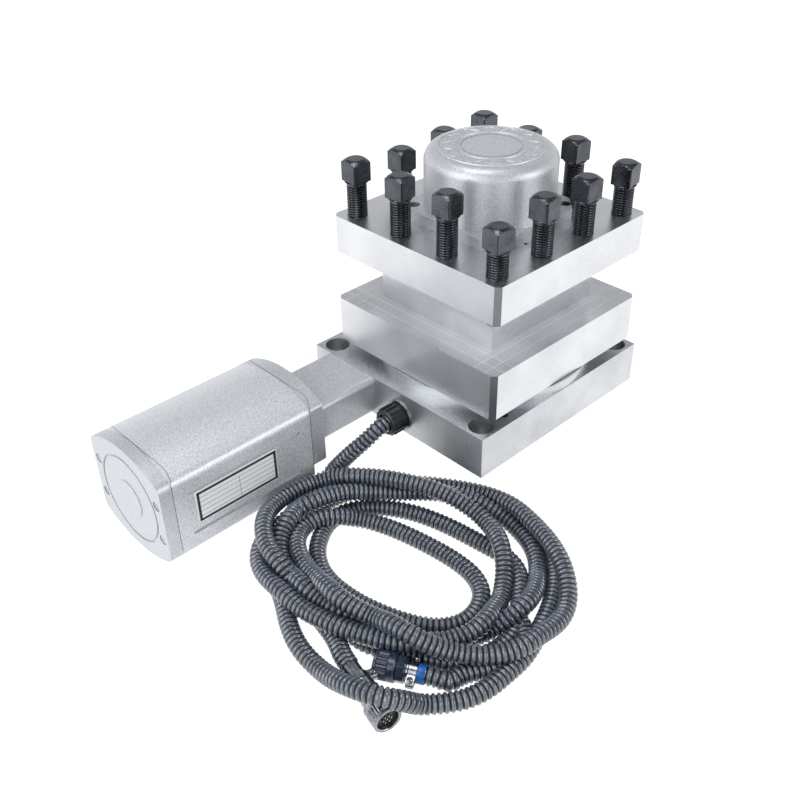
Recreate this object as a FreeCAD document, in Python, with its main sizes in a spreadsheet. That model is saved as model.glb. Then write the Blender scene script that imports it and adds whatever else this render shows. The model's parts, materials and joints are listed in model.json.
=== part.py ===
import FreeCAD, Part
import math
import os
import re
import Sketcher

# Four-position lathe tool turret: a base that is bolted to a cross slide, a
# geared motor on its side, a worm drive and lift screw inside, a square
# head that lifts off its toothed rings to turn, and a conduit with two plugs.
# Lengths are in millimetres. The origin is the middle of the base's underside.

SIZES = [
    # base
    ("base_side", 192.0, "side of the square base"),
    ("base_thickness", 36.0, "thickness of the base plate"),
    ("boss_diameter", 179.0, "round boss under the head"),
    ("boss_height", 8.0, "height of the boss above the plate"),
    ("head_x", 5.0, "spindle axis from the middle of the base, along X"),
    ("head_y", -6.0, "spindle axis from the middle of the base, along Y"),
    ("bolt_spacing", 166.0, "spacing of the four base bolts"),
    ("bolt_hole", 13.5, "clearance hole for an M12 bolt"),
    ("bolt_counterbore", 20.5, "counterbore for the bolt's head"),
    ("bolt_counterbore_depth", 24.0, "depth of that counterbore"),
    ("oil_port", 8.0, "oil port beside the near corner"),
    ("oil_port_x", -60.0, "oil port, along X"),
    ("oil_port_y", -85.0, "oil port, along Y"),
    ("oil_port_depth", 12.0, "depth of the oil port"),
    ("floor_thickness", 9.0, "floor under the worm wheel"),
    # head
    ("head_gap", 0.5, "gap between the boss and the head"),
    ("head_side", 174.0, "side of the square head"),
    ("block_height", 39.0, "lower block, under the tool slots"),
    ("slot_height", 42.5, "opening of the four tool slots"),
    ("plate_height", 31.0, "top plate that holds the clamp screws"),
    ("neck_side", 120.0, "square neck between the slots"),
    ("corner_chamfer", 4.0, "chamfer on the head's upright corners"),
    ("head_lift", 6.0, "lift that frees the toothed rings"),
    ("oil_hole", 3.0, "oil hole in the top plate"),
    # clamp screws
    ("clamp_pitch", 48.6, "spacing of the clamp screws along a side"),
    ("clamp_thread", 16.0, "outside diameter of the thread"),
    ("clamp_length", 58.0, "length of the threaded shank"),
    ("clamp_head", 16.6, "square head, across its flats"),
    ("clamp_head_height", 17.0, "height of the square head"),
    ("clamp_collar", 1.6, "thin round collar under the head"),
    ("slide_clearance", 0.09, "radial clearance of parts that slide or turn"),
    # toothed rings
    ("ring_outer", 78.0, "outer radius of the toothed rings"),
    ("ring_inner", 62.0, "inner radius of the toothed rings"),
    ("ring_thickness", 5.0, "body of a toothed ring"),
    ("ring_teeth", 36, "teeth on each ring"),
    ("tooth_height", 5.0, "height of a ring tooth"),
    ("tooth_slope", 1.2, "narrowing of a ring tooth on each flank"),
    ("tooth_clearance", 0.4, "clearance between the meshed rings"),
    ("pocket_clearance", 1.0, "room around the rings in the head"),
    # worm drive
    ("gear_module", 2.5, "module of the worm and its wheel"),
    ("wheel_teeth", 36, "teeth on the worm wheel"),
    ("wheel_width", 16.0, "width of the worm wheel"),
    ("wheel_room", 1.5, "room around the wheel in the base"),
    ("worm_pitch_diameter", 22.0, "pitch diameter of the worm"),
    ("worm_height", 19.0, "worm axis above the underside"),
    ("worm_half_length", 20.0, "half the threaded length of the worm"),
    ("mesh_backlash", 0.7, "backlash of the worm and wheel"),
    ("bearing_outer", 28.0, "outside diameter of the worm bearings"),
    ("bearing_width", 7.0, "width of the worm bearings"),
    ("journal", 15.0, "diameter of the worm's journals"),
    ("bearing_reach", 38.0, "inner face of a worm bearing from the wheel's axis"),
    ("plug_diameter", 22.0, "plug that closes the end of the worm's bore"),
    ("plug_length", 10.0, "length of that plug"),
    ("hex_socket", 8.0, "hexagon socket for turning by hand, across flats"),
    # spindle, wheel hub, lift screw
    ("spindle_radius", 17.0, "fixed spindle"),
    ("spindle_flange_radius", 35.0, "flange at the foot of the spindle"),
    ("spindle_flange", 6.0, "thickness of that flange"),
    ("spindle_bore", 6.0, "radius of the cable bore up the spindle"),
    ("washer_radius", 30.0, "thrust washer under the wheel"),
    ("hub_radius", 24.0, "hub of the lift screw inside the wheel"),
    ("lift_radius", 29.0, "outside radius of the lift screw"),
    ("nut_radius", 42.0, "outside radius of the lift nut"),
    ("nut_length", 31.0, "length of the lift nut below its flange"),
    ("nut_flange", 4.5, "overhang and thickness of the nut's flange"),
    ("nut_clearance", 0.3, "radial room between lift screw and nut"),
    # index sleeve and stop disc
    ("sleeve_hub", 26.0, "hub radius of the index sleeve"),
    ("sleeve_flange_radius", 42.0, "flange radius of the index sleeve"),
    ("sleeve_flange", 6.0, "thickness of that flange"),
    ("sleeve_length", 22.0, "length of the sleeve on the spindle"),
    ("axial_clearance", 0.3, "gap between parts that turn on one another"),
    ("pin_radius", 4.0, "drive pin"),
    ("pin_circle", 36.0, "radius at which the drive pins stand"),
    ("pin_reach", 19.0, "drive pin below the sleeve's flange"),
    ("stop_radius", 43.0, "radius of the index stop disc"),
    ("stop_thickness", 7.0, "thickness of the index stop disc"),
    ("stop_notch", 5.0, "depth of the disc's four notches"),
    ("spindle_nut_radius", 22.0, "slotted nut on the spindle"),
    ("spindle_nut_height", 10.0, "height of that nut"),
    ("spindle_thread", 14.0, "radius of the spindle in its nut"),
    # sensor
    ("sensor_neck", 11.0, "radius of the spindle under the sensor disc"),
    ("sensor_seat", 9.0, "radius of the spindle in the sensor disc"),
    ("sensor_radius", 34.0, "radius of the sensor disc"),
    ("sensor_thickness", 3.0, "thickness of the sensor disc"),
    ("sensor_height", 1.0, "sensor disc above the top plate"),
    ("sensor_nut_height", 6.0, "nut that holds the sensor disc"),
    ("magnet_width", 8.0, "width of the position magnet"),
    ("magnet_depth", 9.0, "radial depth of the position magnet"),
    ("magnet_height", 8.0, "height of the position magnet"),
    # top cover
    ("cover_flange_side", 104.0, "side of the cover's square flange"),
    ("cover_flange", 8.0, "thickness of the cover's flange"),
    ("cover_corner", 15.0, "cut across the corners of that flange"),
    ("cover_radius", 51.5, "radius of the round cover"),
    ("cover_height", 56.0, "height of the cover above the top plate"),
    ("cover_round", 10.5, "rounding of the cover's top edge"),
    ("cover_wall", 4.0, "wall of the cover"),
    ("cover_rim", 24.0, "radius of the shallow ring on the cover"),
    ("cover_rim_depth", 0.8, "depth of that ring"),
    ("cover_hole_spacing", 83.0, "spacing of the cover screws"),
    ("cover_screw", 5.0, "thread of the cover screws"),
    ("cover_screw_length", 14.0, "shank of the cover screws"),
    # motor mounting
    ("bracket_length", 55.5, "bracket between base and motor flange"),
    ("bracket_near", 22.9, "near side of the bracket, along Y"),
    ("bracket_far", 80.9, "far side of the bracket, along Y"),
    ("bracket_top", 35.6, "top of the bracket"),
    ("bracket_bottom", 1.6, "underside of the bracket"),
    ("bracket_round", 5.0, "rounding along the bracket's edges"),
    ("bracket_wall", 5.0, "wall of the bracket"),
    ("flange_thickness", 13.0, "flange between bracket and motor"),
    ("flange_drop", 22.0, "flange below the motor's axis"),
    ("gear_room", 1.2, "room around the spur gears"),
    ("spur_module", 1.0, "module of the two spur gears"),
    ("pinion_teeth", 18, "teeth on the motor pinion"),
    ("driven_teeth", 30, "teeth on the worm's spur gear"),
    ("spur_width", 7.0, "width of the spur gears"),
    ("spur_backlash", 0.25, "backlash of the spur gears"),
    ("spur_angle", 38.0, "fall of the motor's axis from the worm's, in degrees"),
    # motor
    ("motor_width", 93.4, "width of the motor's casing"),
    ("motor_height", 93.0, "height of the motor's casing"),
    ("motor_bow", 91.0, "radius of the bowed top and bottom"),
    ("motor_round", 8.0, "rounding of the casing's long edges"),
    ("motor_length", 126.5, "length of the casing"),
    ("motor_bore", 37.5, "radius of the casing's bore"),
    ("motor_front_wall", 7.0, "front wall of the casing"),
    ("rear_cover_length", 10.6, "length of the rear cover"),
    ("side_groove", 3.0, "width of the long grooves on the casing's sides"),
    ("side_groove_depth", 2.0, "depth of those grooves"),
    ("side_groove_length", 103.0, "length of those grooves"),
    ("side_groove_rise", 18.7, "height of the grooves above and below the axis"),
    ("rotor_radius", 22.0, "radius of the rotor"),
    ("rotor_gap", 0.6, "gap between rotor and stator"),
    ("rotor_length", 62.0, "length of the rotor's core"),
    ("motor_shaft", 7.5, "radius of the motor's shaft"),
    ("pinion_seat", 4.5, "radius of the shaft's end inside the pinion"),
    ("motor_bearing", 14.0, "outside radius of the motor's bearings"),
    ("winding_overhang", 12.0, "windings past each end of the stator"),
    ("rear_ring", 37.0, "radius of the groove on the rear cover"),
    ("rear_disc", 15.5, "radius of the plain disc on the rear cover"),
    ("rear_disc_rise", 0.6, "height of that disc"),
    ("rear_screw_y", 39.5, "rear cover screws, across"),
    ("rear_screw_z", 16.0, "rear cover screws, up and down"),
    ("rear_screw", 4.0, "thread of the rear cover screws"),
    ("plate_length", 74.0, "length of the bare nameplate"),
    ("plate_width", 28.5, "width of the bare nameplate"),
    ("plate_gauge", 0.8, "thickness of the bare nameplate"),
    ("plate_inset", 17.0, "nameplate from the casing's rear end"),
    ("plate_rise", 2.55, "middle of the nameplate above the motor's axis"),
    # cable gland and conduit
    ("gland_y", -6.5, "gland axis, along Y"),
    ("gland_z", 14.0, "gland axis above the underside"),
    ("gland_thread", 8.0, "radius of the gland's thread"),
    ("gland_reach", 12.0, "length of that thread in the base"),
    ("gland_bore", 5.5, "radius of the gland's bore"),
    ("gland_collar", 11.0, "radius of the gland's collar"),
    ("gland_collar_length", 2.0, "length of that collar"),
    ("gland_washer", 13.5, "radius of the gland's washer"),
    ("gland_washer_gauge", 1.5, "thickness of that washer"),
    ("gland_nut", 12.2, "radius of the gland's ribbed nut, over its ribs"),
    ("gland_nut_length", 13.0, "length of the ribbed nut"),
    ("gland_ribs", 14, "ribs round the nut"),
    ("gland_rib", 1.2, "height and half width of a rib"),
    ("conduit_radius", 7.0, "outside radius of the conduit"),
    ("conduit_room", 0.5, "room round the conduit in the nut"),
    ("channel_width", 14.0, "cable channel under the base"),
    ("channel_depth", 4.0, "depth of that channel near the spindle"),
    ("rest_level", -42.0, "level on which the conduit lies"),
    ("coil_x", -177.0, "middle of the loose coil, along X"),
    ("coil_y", -102.0, "middle of the loose coil, along Y"),
    ("coil_outer", 120.0, "outer radius of the loose coil"),
    ("coil_inner", 62.0, "inner radius of the loose coil"),
    ("coil_top", -4.0, "top of the loose coil, below the base's underside"),
    # plugs
    ("plug_shell", 10.0, "radius of a plug's shell"),
    ("plug_shell_length", 15.0, "length of a plug's shell"),
    ("plug_body", 8.2, "radius of a plug's body"),
    ("plug_insert", 7.6, "radius of a plug's insert"),
    ("plug_mouth", 3.0, "depth of the insert in the plug's mouth"),
    ("plug_clamp", 8.0, "length of a plug's cable clamp"),
    ("plug_ear", 7.5, "reach of the clamp's ears to each side"),
    ("plug_tail", 6.0, "radius of the cable's tail behind a clamp"),
    ("plug_room", 4.0, "room between the rear plug and the coil"),
    ("front_plug_length", 32.0, "length of the front plug's body with its shell"),
    ("front_plug_tail", 9.0, "length of the front plug's tail"),
    ("front_plug_x", -282.0, "mouth of the front plug, along X"),
    ("front_plug_y", -189.0, "mouth of the front plug, along Y"),
    ("front_plug_turn", 77.0, "direction from the front plug's mouth to its clamp, in degrees"),
    ("rear_plug_length", 22.0, "length of the rear plug's body with its shell"),
    ("rear_plug_tail", 5.0, "length of the rear plug's tail"),
    ("rear_plug_x", -257.0, "mouth of the rear plug, along X"),
    ("rear_plug_y", -150.0, "mouth of the rear plug, along Y"),
    ("rear_plug_turn", -61.0, "direction from the rear plug's mouth to its clamp, in degrees"),
]

doc = FreeCAD.newDocument("tool_turret")
sheet = doc.addObject("Spreadsheet::Sheet", "Sizes")
for row, (alias, value, note) in enumerate(SIZES, start=1):
    sheet.set("A%d" % row, note)
    sheet.set("B%d" % row, str(value))
    sheet.setAlias("B%d" % row, alias)
doc.recompute()
NAMES = {alias for alias, value, note in SIZES}


def bound(text):
    """Write the sheet's name before each size in an expression."""
    word = re.compile(r"[a-z][a-z_]+")
    return word.sub(lambda found: "Sizes." + found.group() if found.group() in NAMES else found.group(), text)


def number(text):
    """Work an expression out from the sheet."""
    return float(sheet.evalExpression(bound(text)))


def bind(thing, name, text):
    """Tie a property to the sheet."""
    thing.setExpression(name, bound(text))


# Levels and places that several pieces share, worked out from the sizes
BOSS_TOP = "(base_thickness + boss_height)"
HEAD_BOTTOM = "(%s + head_gap)" % BOSS_TOP
BLOCK_TOP = "(%s + block_height)" % HEAD_BOTTOM
PLATE_BOTTOM = "(%s + slot_height)" % BLOCK_TOP
PLATE_TOP = "(%s + plate_height)" % PLATE_BOTTOM
RING_MESH = "(%s + ring_thickness)" % BOSS_TOP
POCKET_TOP = "(%s + tooth_height + tooth_clearance + ring_thickness)" % RING_MESH
NUT_SEAT = "(%s + nut_length)" % POCKET_TOP
NUT_TOP = "(%s + nut_flange)" % NUT_SEAT
UPPER_BORE = "(nut_radius + nut_flange)"
LIFT_TOP = "(%s + 1.5)" % NUT_TOP
SLEEVE_BOTTOM = "(%s + axial_clearance)" % LIFT_TOP
SLEEVE_FLANGE = "(%s + head_lift + 0.5)" % NUT_TOP
SLEEVE_TOP = "(%s + sleeve_length)" % SLEEVE_BOTTOM
STOP_BOTTOM = "(%s + axial_clearance)" % SLEEVE_TOP
STOP_TOP = "(%s + stop_thickness)" % STOP_BOTTOM
SPINDLE_NUT_TOP = "(%s + spindle_nut_height)" % STOP_TOP
SENSOR_BOTTOM = "(%s + sensor_height)" % PLATE_TOP
SENSOR_TOP = "(%s + sensor_thickness)" % SENSOR_BOTTOM
COVER_TOP = "(%s + cover_height)" % PLATE_TOP

WHEEL_PITCH_RADIUS = "(gear_module * wheel_teeth / 2)"
WHEEL_TIP_RADIUS = "(%s + gear_module)" % WHEEL_PITCH_RADIUS
WHEEL_BOTTOM = "(worm_height - wheel_width / 2)"
WHEEL_TOP = "(worm_height + wheel_width / 2)"
WHEEL_CAVITY = "(%s + wheel_room)" % WHEEL_TIP_RADIUS
WORM_OFFSET = "(%s + worm_pitch_diameter / 2)" % WHEEL_PITCH_RADIUS
WORM_Y = "(head_y + %s)" % WORM_OFFSET
WORM_TIP = "(worm_pitch_diameter / 2 + gear_module)"
WORM_ROOT = "(worm_pitch_diameter / 2 - 1.25 * gear_module)"
WORM_PITCH = "(pi * gear_module)"

SPUR_CENTRES = "(spur_module * (pinion_teeth + driven_teeth) / 2)"
MOTOR_Y = "(%s + %s * cos(spur_angle))" % (WORM_Y, SPUR_CENTRES)
MOTOR_Z = "(worm_height - %s * sin(spur_angle))" % SPUR_CENTRES
BASE_FACE = "(-base_side / 2)"
FLANGE_FRONT = "(%s - bracket_length)" % BASE_FACE
FLANGE_REAR = "(%s - flange_thickness)" % FLANGE_FRONT
MOTOR_REAR = "(%s - motor_length)" % FLANGE_REAR
COVER_REAR = "(%s - rear_cover_length)" % MOTOR_REAR
MOTOR_SIDE = "(motor_height / 2 - motor_bow + sqrt(motor_bow^2 - motor_width^2 / 4))"
CLAMP_SPOTS = [(-1.5, 1.5), (-1.5, 0.5), (-1.5, -0.5), (-1.5, -1.5), (-0.5, -1.5), (0.5, -1.5),
               (1.5, -1.5), (1.5, -0.5), (1.5, 0.5), (1.5, 1.5), (0.5, 1.5), (-0.5, 1.5)]
# How far each clamp screw stands out of the top plate, head included
CLAMP_STANDS = [46.0, 47.0, 48.5, 38.5, 45.5, 45.0, 42.0, 48.0, 44.0, 45.0, 44.0, 41.0]


def origin_feature(body, role):
    """Find one of a body's own origin planes or axes."""
    return next(item for item in body.Origin.OriginFeatures if item.Role == role)


def new_body(label, place=("0", "0", "0")):
    """Make an empty body whose placement follows the sheet."""
    body = doc.addObject("PartDesign::Body", label)
    body.Label = label
    for axis, text in zip("xyz", place):
        bind(body, "Placement.Base." + axis, text)
    return body


def new_sketch(body, plane, offset="0"):
    """Make a sketch on one of the body's origin planes, lifted along the plane's normal."""
    sketch = body.newObject("Sketcher::SketchObject", body.Label + "_sketch")
    sketch.AttachmentSupport = (origin_feature(body, plane), [""])
    sketch.MapMode = "FlatFace"
    bind(sketch, "AttachmentOffset.Base.z", offset)
    return sketch


def pin_point(sketch, piece, end, spot):
    """Hold a sketch point at a place written with the sizes."""
    for text, kind, axis in ((spot[0], "DistanceX", -2), (spot[1], "DistanceY", -1)):
        if text == "0":
            sketch.addConstraint(Sketcher.Constraint("PointOnObject", piece, end, axis))
        else:
            held = sketch.addConstraint(Sketcher.Constraint(kind, -1, 1, piece, end, number(text)))
            bind(sketch, "Constraints[%d]" % held, text)


def outline(body, plane, points, offset="0"):
    """Sketch a closed outline of straight lines."""
    sketch = new_sketch(body, plane, offset)
    spots = [FreeCAD.Vector(number(across), number(up), 0) for across, up in points]
    count = len(spots)
    for index in range(count):
        sketch.addGeometry(Part.LineSegment(spots[index], spots[(index + 1) % count]), False)
    for index in range(count):
        sketch.addConstraint(Sketcher.Constraint("Coincident", index, 2, (index + 1) % count, 1))
    for index, spot in enumerate(points):
        pin_point(sketch, index, 1, spot)
    return sketch


def rectangle(body, plane, low, high, offset="0"):
    """Sketch a rectangle between two corners."""
    points = [low, (high[0], low[1]), high, (low[0], high[1])]
    return outline(body, plane, points, offset)


def square(body, plane, side, offset="0"):
    """Sketch a square about the body's origin."""
    half = "(%s) / 2" % side
    return rectangle(body, plane, ("-" + half, "-" + half), (half, half), offset)


def hexagon(body, plane, across, offset="0"):
    """Sketch a hexagon by its width across flats, two of its corners level."""
    points = []
    for turn in range(0, 360, 60):
        up = "0" if turn % 180 == 0 else "(%s) / sqrt(3) * sin(%d)" % (across, turn)
        points.append(("(%s) / sqrt(3) * cos(%d)" % (across, turn), up))
    return outline(body, plane, points, offset)


def circles(body, plane, rings, offset="0"):
    """Sketch circles, each a centre and a radius."""
    sketch = new_sketch(body, plane, offset)
    for centre, radius in rings:
        middle = FreeCAD.Vector(number(centre[0]), number(centre[1]), 0)
        piece = sketch.addGeometry(Part.Circle(middle, FreeCAD.Vector(0, 0, 1), number(radius)), False)
        pin_point(sketch, piece, 3, centre)
        held = sketch.addConstraint(Sketcher.Constraint("Radius", piece, number(radius)))
        bind(sketch, "Constraints[%d]" % held, radius)
    return sketch


CENTRE = ("0", "0")


def bowed_outline(body, low, offset="0"):
    """Sketch the motor's section across X: flat sides, bowed top, and a bowed or flat underside."""
    sketch = new_sketch(body, "YZ_Plane", offset)
    half = "(motor_width / 2)"
    foot = "-" + MOTOR_SIDE if low is None else low
    corners = [("-" + half, foot), (half, foot), (half, MOTOR_SIDE), ("-" + half, MOTOR_SIDE)]
    spots = [FreeCAD.Vector(number(across), number(up), 0) for across, up in corners]
    crown = FreeCAD.Vector(0, number("motor_height / 2"), 0)
    keel = FreeCAD.Vector(0, -number("motor_height / 2"), 0)
    underside = Part.LineSegment(spots[0], spots[1])
    if low is None:
        underside = Part.Arc(spots[0], keel, spots[1])
    for piece in (underside, Part.LineSegment(spots[1], spots[2]), Part.Arc(spots[2], crown, spots[3]),
                  Part.LineSegment(spots[3], spots[0])):
        sketch.addGeometry(piece, False)
    sketch.addConstraint(Sketcher.Constraint("Coincident", 0, 2, 1, 1))
    sketch.addConstraint(Sketcher.Constraint("Coincident", 1, 2, 2, 1))
    sketch.addConstraint(Sketcher.Constraint("Coincident", 2, 2, 3, 1))
    sketch.addConstraint(Sketcher.Constraint("Coincident", 3, 2, 0, 1))
    pin_point(sketch, 1, 1, corners[1])
    pin_point(sketch, 1, 2, corners[2])
    pin_point(sketch, 3, 1, corners[3])
    pin_point(sketch, 3, 2, corners[0])
    for piece in ((2,) if low is not None else (0, 2)):
        held = sketch.addConstraint(Sketcher.Constraint("Radius", piece, number("motor_bow")))
        bind(sketch, "Constraints[%d]" % held, "motor_bow")
    return sketch


def feature(body, kind, sketch, **settings):
    """Add a sketch-based feature to a body."""
    made = body.newObject("PartDesign::" + kind, body.Label + "_" + kind.lower())
    made.Profile = sketch
    for name, setting in settings.items():
        setattr(made, name, setting)
    sketch.Visibility = False
    return made


def pad(body, sketch, length, reverse=False):
    """Add material along the sketch's normal."""
    made = feature(body, "Pad", sketch, Reversed=reverse)
    bind(made, "Length", length)
    return made


def pocket(body, sketch, length, reverse=False):
    """Cut against the sketch's normal, or along it when reversed, and prove that it cut."""
    doc.recompute()
    before = body.Shape.Volume
    made = feature(body, "Pocket", sketch, Reversed=reverse)
    bind(made, "Length", length)
    doc.recompute()
    if not body.Shape.Volume < before - 1e-6:
        raise RuntimeError("a pocket in %s cuts nothing" % body.Label)
    return made


def revolve(body, sketch, axis):
    """Turn a sketch right round one of its axes."""
    return feature(body, "Revolution", sketch, ReferenceAxis=(sketch, [axis]), Angle=360)


def groove(body, sketch, axis):
    """Cut a turned groove, and prove that it cut."""
    doc.recompute()
    before = body.Shape.Volume
    made = feature(body, "Groove", sketch, ReferenceAxis=(sketch, [axis]), Angle=360)
    doc.recompute()
    if not body.Shape.Volume < before - 1e-6:
        raise RuntimeError("a groove in %s cuts nothing" % body.Label)
    return made


def polar(body, original, count, role="Z_Axis"):
    """Repeat a feature round one of the body's axes."""
    pattern = body.newObject("PartDesign::PolarPattern", body.Label + "_pattern")
    pattern.Originals = [original]
    pattern.Axis = (origin_feature(body, role), [""])
    pattern.Angle = 360
    bind(pattern, "Occurrences", count)
    body.Tip = pattern
    return pattern


def edges_where(body, test):
    """Name the body's edges that pass a test."""
    doc.recompute()
    return ["Edge%d" % (index + 1) for index, edge in enumerate(body.Shape.Edges) if test(edge)]


def dress(body, kind, size, test):
    """Fillet or chamfer the edges that pass a test."""
    names = edges_where(body, test)
    if not names:
        raise RuntimeError("no edges to dress on " + body.Label)
    dressed = body.Tip
    made = body.newObject("PartDesign::" + kind, body.Label + "_" + kind.lower())
    made.Base = (dressed, names)
    bind(made, "Radius" if kind == "Fillet" else "Size", size)
    body.Tip = made
    return made


def upright(edge):
    """Tell whether an edge is straight and runs along Z."""
    ends = [point.Point for point in edge.Vertexes]
    return len(ends) == 2 and abs(ends[0].x - ends[1].x) < 1e-4 and abs(ends[0].y - ends[1].y) < 1e-4


def along_x(edge):
    """Tell whether an edge is straight and runs along X."""
    ends = [point.Point for point in edge.Vertexes]
    return len(ends) == 2 and abs(ends[0].y - ends[1].y) < 1e-4 and abs(ends[0].z - ends[1].z) < 1e-4


def turned(label, profile, axis, place=("0", "0", "0")):
    """Make a turned piece from its half section in the XZ plane."""
    body = new_body(label, place)
    revolve(body, outline(body, "XZ_Plane", profile), axis)
    return body


def ring(label, inner, outer, bottom, top, place):
    """Make a plain ring about Z."""
    profile = [(inner, bottom), (outer, bottom), (outer, top), (inner, top)]
    return turned(label, profile, "V_Axis", place)


HEAD_PLACE = ("head_x", "head_y", "0")
WORM_PLACE = ("head_x", WORM_Y, "worm_height")
MOTOR_PLACE = ("0", MOTOR_Y, MOTOR_Z)


def make_base():
    """The base plate: boss, wheel cavity, worm bore, bolt holes and cable channel."""
    body = new_body("base_plate")
    pad(body, square(body, "XY_Plane", "base_side"), "base_thickness")
    middle = ("head_x", "head_y")
    pad(body, circles(body, "XY_Plane", [(middle, "boss_diameter / 2")], "base_thickness"), "boss_height")
    cavity = circles(body, "XY_Plane", [(middle, WHEEL_CAVITY)], BOSS_TOP)
    pocket(body, cavity, "%s - floor_thickness" % BOSS_TOP)
    pocket(body, circles(body, "XY_Plane", [(middle, "spindle_flange_radius + slide_clearance")]),
           "spindle_flange", reverse=True)
    pocket(body, circles(body, "XY_Plane", [(middle, "spindle_radius + slide_clearance")], "floor_thickness"),
           "floor_thickness")
    bore_end = "base_side / 2 + head_x + bearing_reach + axial_clearance + bearing_width"
    axis = (WORM_Y, "worm_height")
    pocket(body, circles(body, "YZ_Plane", [(axis, "bearing_outer / 2")], BASE_FACE), bore_end, reverse=True)
    pocket(body, circles(body, "YZ_Plane", [(axis, "plug_diameter / 2")], "base_side / 2"),
           "base_side - (%s) + 1" % bore_end)
    half = "bolt_spacing / 2"
    spots = [(sx + half, sy + half) for sx in ("-", "") for sy in ("-", "")]
    pocket(body, circles(body, "XY_Plane", [(spot, "bolt_hole / 2") for spot in spots], "base_thickness"),
           "base_thickness")
    sunk = circles(body, "XY_Plane", [(spot, "bolt_counterbore / 2") for spot in spots], "base_thickness")
    pocket(body, sunk, "bolt_counterbore_depth")
    pocket(body, circles(body, "XY_Plane", [(("oil_port_x", "oil_port_y"), "oil_port / 2")], "base_thickness"),
           "oil_port_depth")
    gland = ("gland_y", "gland_z")
    pocket(body, circles(body, "YZ_Plane", [(gland, "gland_thread")], BASE_FACE), "gland_washer * 2",
           reverse=True)
    near, far = ("gland_y - channel_width / 2", "gland_y + channel_width / 2")
    low = ("%s + gland_washer" % BASE_FACE, near)
    inner = ("head_x - %s - 2" % WHEEL_CAVITY, far)
    pocket(body, rectangle(body, "XY_Plane", low, inner), "gland_z", reverse=True)
    pocket(body, rectangle(body, "XY_Plane", low, ("head_x", far)), "channel_depth", reverse=True)
    return body


def make_spindle():
    """The fixed spindle: flange under the base, hollow for the sensor's wires."""
    steps = [("spindle_flange_radius", "0"), ("spindle_flange_radius", "spindle_flange"),
             ("spindle_radius", "spindle_flange"), ("spindle_radius", STOP_BOTTOM),
             ("spindle_thread", STOP_BOTTOM), ("spindle_thread", SPINDLE_NUT_TOP),
             ("sensor_neck", SPINDLE_NUT_TOP), ("sensor_neck", SENSOR_BOTTOM),
             ("sensor_seat", SENSOR_BOTTOM), ("sensor_seat", "%s + sensor_nut_height" % SENSOR_TOP),
             ("spindle_bore", "%s + sensor_nut_height" % SENSOR_TOP), ("spindle_bore", "0")]
    body = turned("spindle", steps, "V_Axis", HEAD_PLACE)
    slot = rectangle(body, "XY_Plane", ("-spindle_flange_radius - 1", "-spindle_bore"), ("0", "spindle_bore"))
    pocket(body, slot, "channel_depth", reverse=True)
    return body


def toothed_ring(label, teeth_up):
    """One of the two rings whose radial teeth lock the head at rest."""
    body = new_body(label, HEAD_PLACE)
    bottom, top = (BOSS_TOP, RING_MESH)
    if not teeth_up:
        bottom, top = ("%s - ring_thickness" % POCKET_TOP, POCKET_TOP)
    profile = [("ring_inner", bottom), ("ring_outer", bottom), ("ring_outer", top), ("ring_inner", top)]
    revolve(body, outline(body, "XZ_Plane", profile), "V_Axis")
    root, tip = (top, "%s + tooth_height" % top)
    if not teeth_up:
        root, tip = (bottom, "%s - tooth_height" % bottom)
    sections = []
    for radius in ("ring_inner", "ring_outer"):
        middle = "(pi * %s / (2 * ring_teeth) - tooth_clearance / 2)" % radius
        wide = "(%s + tooth_slope / 2)" % middle
        narrow = "(%s - tooth_slope / 2)" % middle
        # The tooth starts a little inside the ring, so that the two join
        inside = "%s - 0.2" % root if teeth_up else "%s + 0.2" % root
        points = [("-" + wide, inside), (wide, inside), (narrow, tip), ("-" + narrow, tip)]
        sections.append(outline(body, "YZ_Plane", points, radius))
    loft = body.newObject("PartDesign::AdditiveLoft", label + "_tooth")
    loft.Profile = sections[0]
    loft.Sections = [sections[1]]
    loft.Ruled = True
    polar(body, loft, "ring_teeth")
    if not teeth_up:
        bind(body, "Placement.Rotation.Angle", "180 / ring_teeth")
    return body


def gear_wire(module, teeth, backlash, height, twist=0.0):
    """A closed wire round a gear with involute flanks, one of its teeth on the X axis."""
    pressure = math.radians(20)
    pitch = module * teeth / 2
    base = pitch * math.cos(pressure)
    root = pitch - 1.25 * module
    tip = pitch + module
    half = (math.pi * module / 2 - backlash) / (2 * pitch)
    start = max(base, root)
    flank = []
    for step in range(4):
        radius = start + (tip - start) * step / 3
        rolled = math.acos(min(1.0, base / radius))
        angle = half + math.tan(pressure) - pressure - math.tan(rolled) + rolled
        flank.append((radius, angle))
    foot = (root, min(flank[0][1] + 0.15 * half, math.pi / teeth * 0.97))
    rising = [(radius, -angle) for radius, angle in [foot] + flank]
    falling = [(radius, angle) for radius, angle in reversed([foot] + flank)]
    points = []
    for tooth in range(teeth):
        for radius, angle in rising + falling:
            turn = angle + tooth * 2 * math.pi / teeth + twist
            points.append(FreeCAD.Vector(radius * math.cos(turn), radius * math.sin(turn), height))
    return Part.makePolygon(points + points[:1])


def shaped(label, shape, place, turn=None):
    """Give a sub-part a shape worked out in code, then its placement."""
    piece = doc.addObject("Part::Feature", label)
    piece.Label = label
    piece.Shape = shape
    where = FreeCAD.Vector(*(number(text) for text in place))
    piece.Placement = FreeCAD.Placement(where, turn or FreeCAD.Rotation())
    return piece


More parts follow.
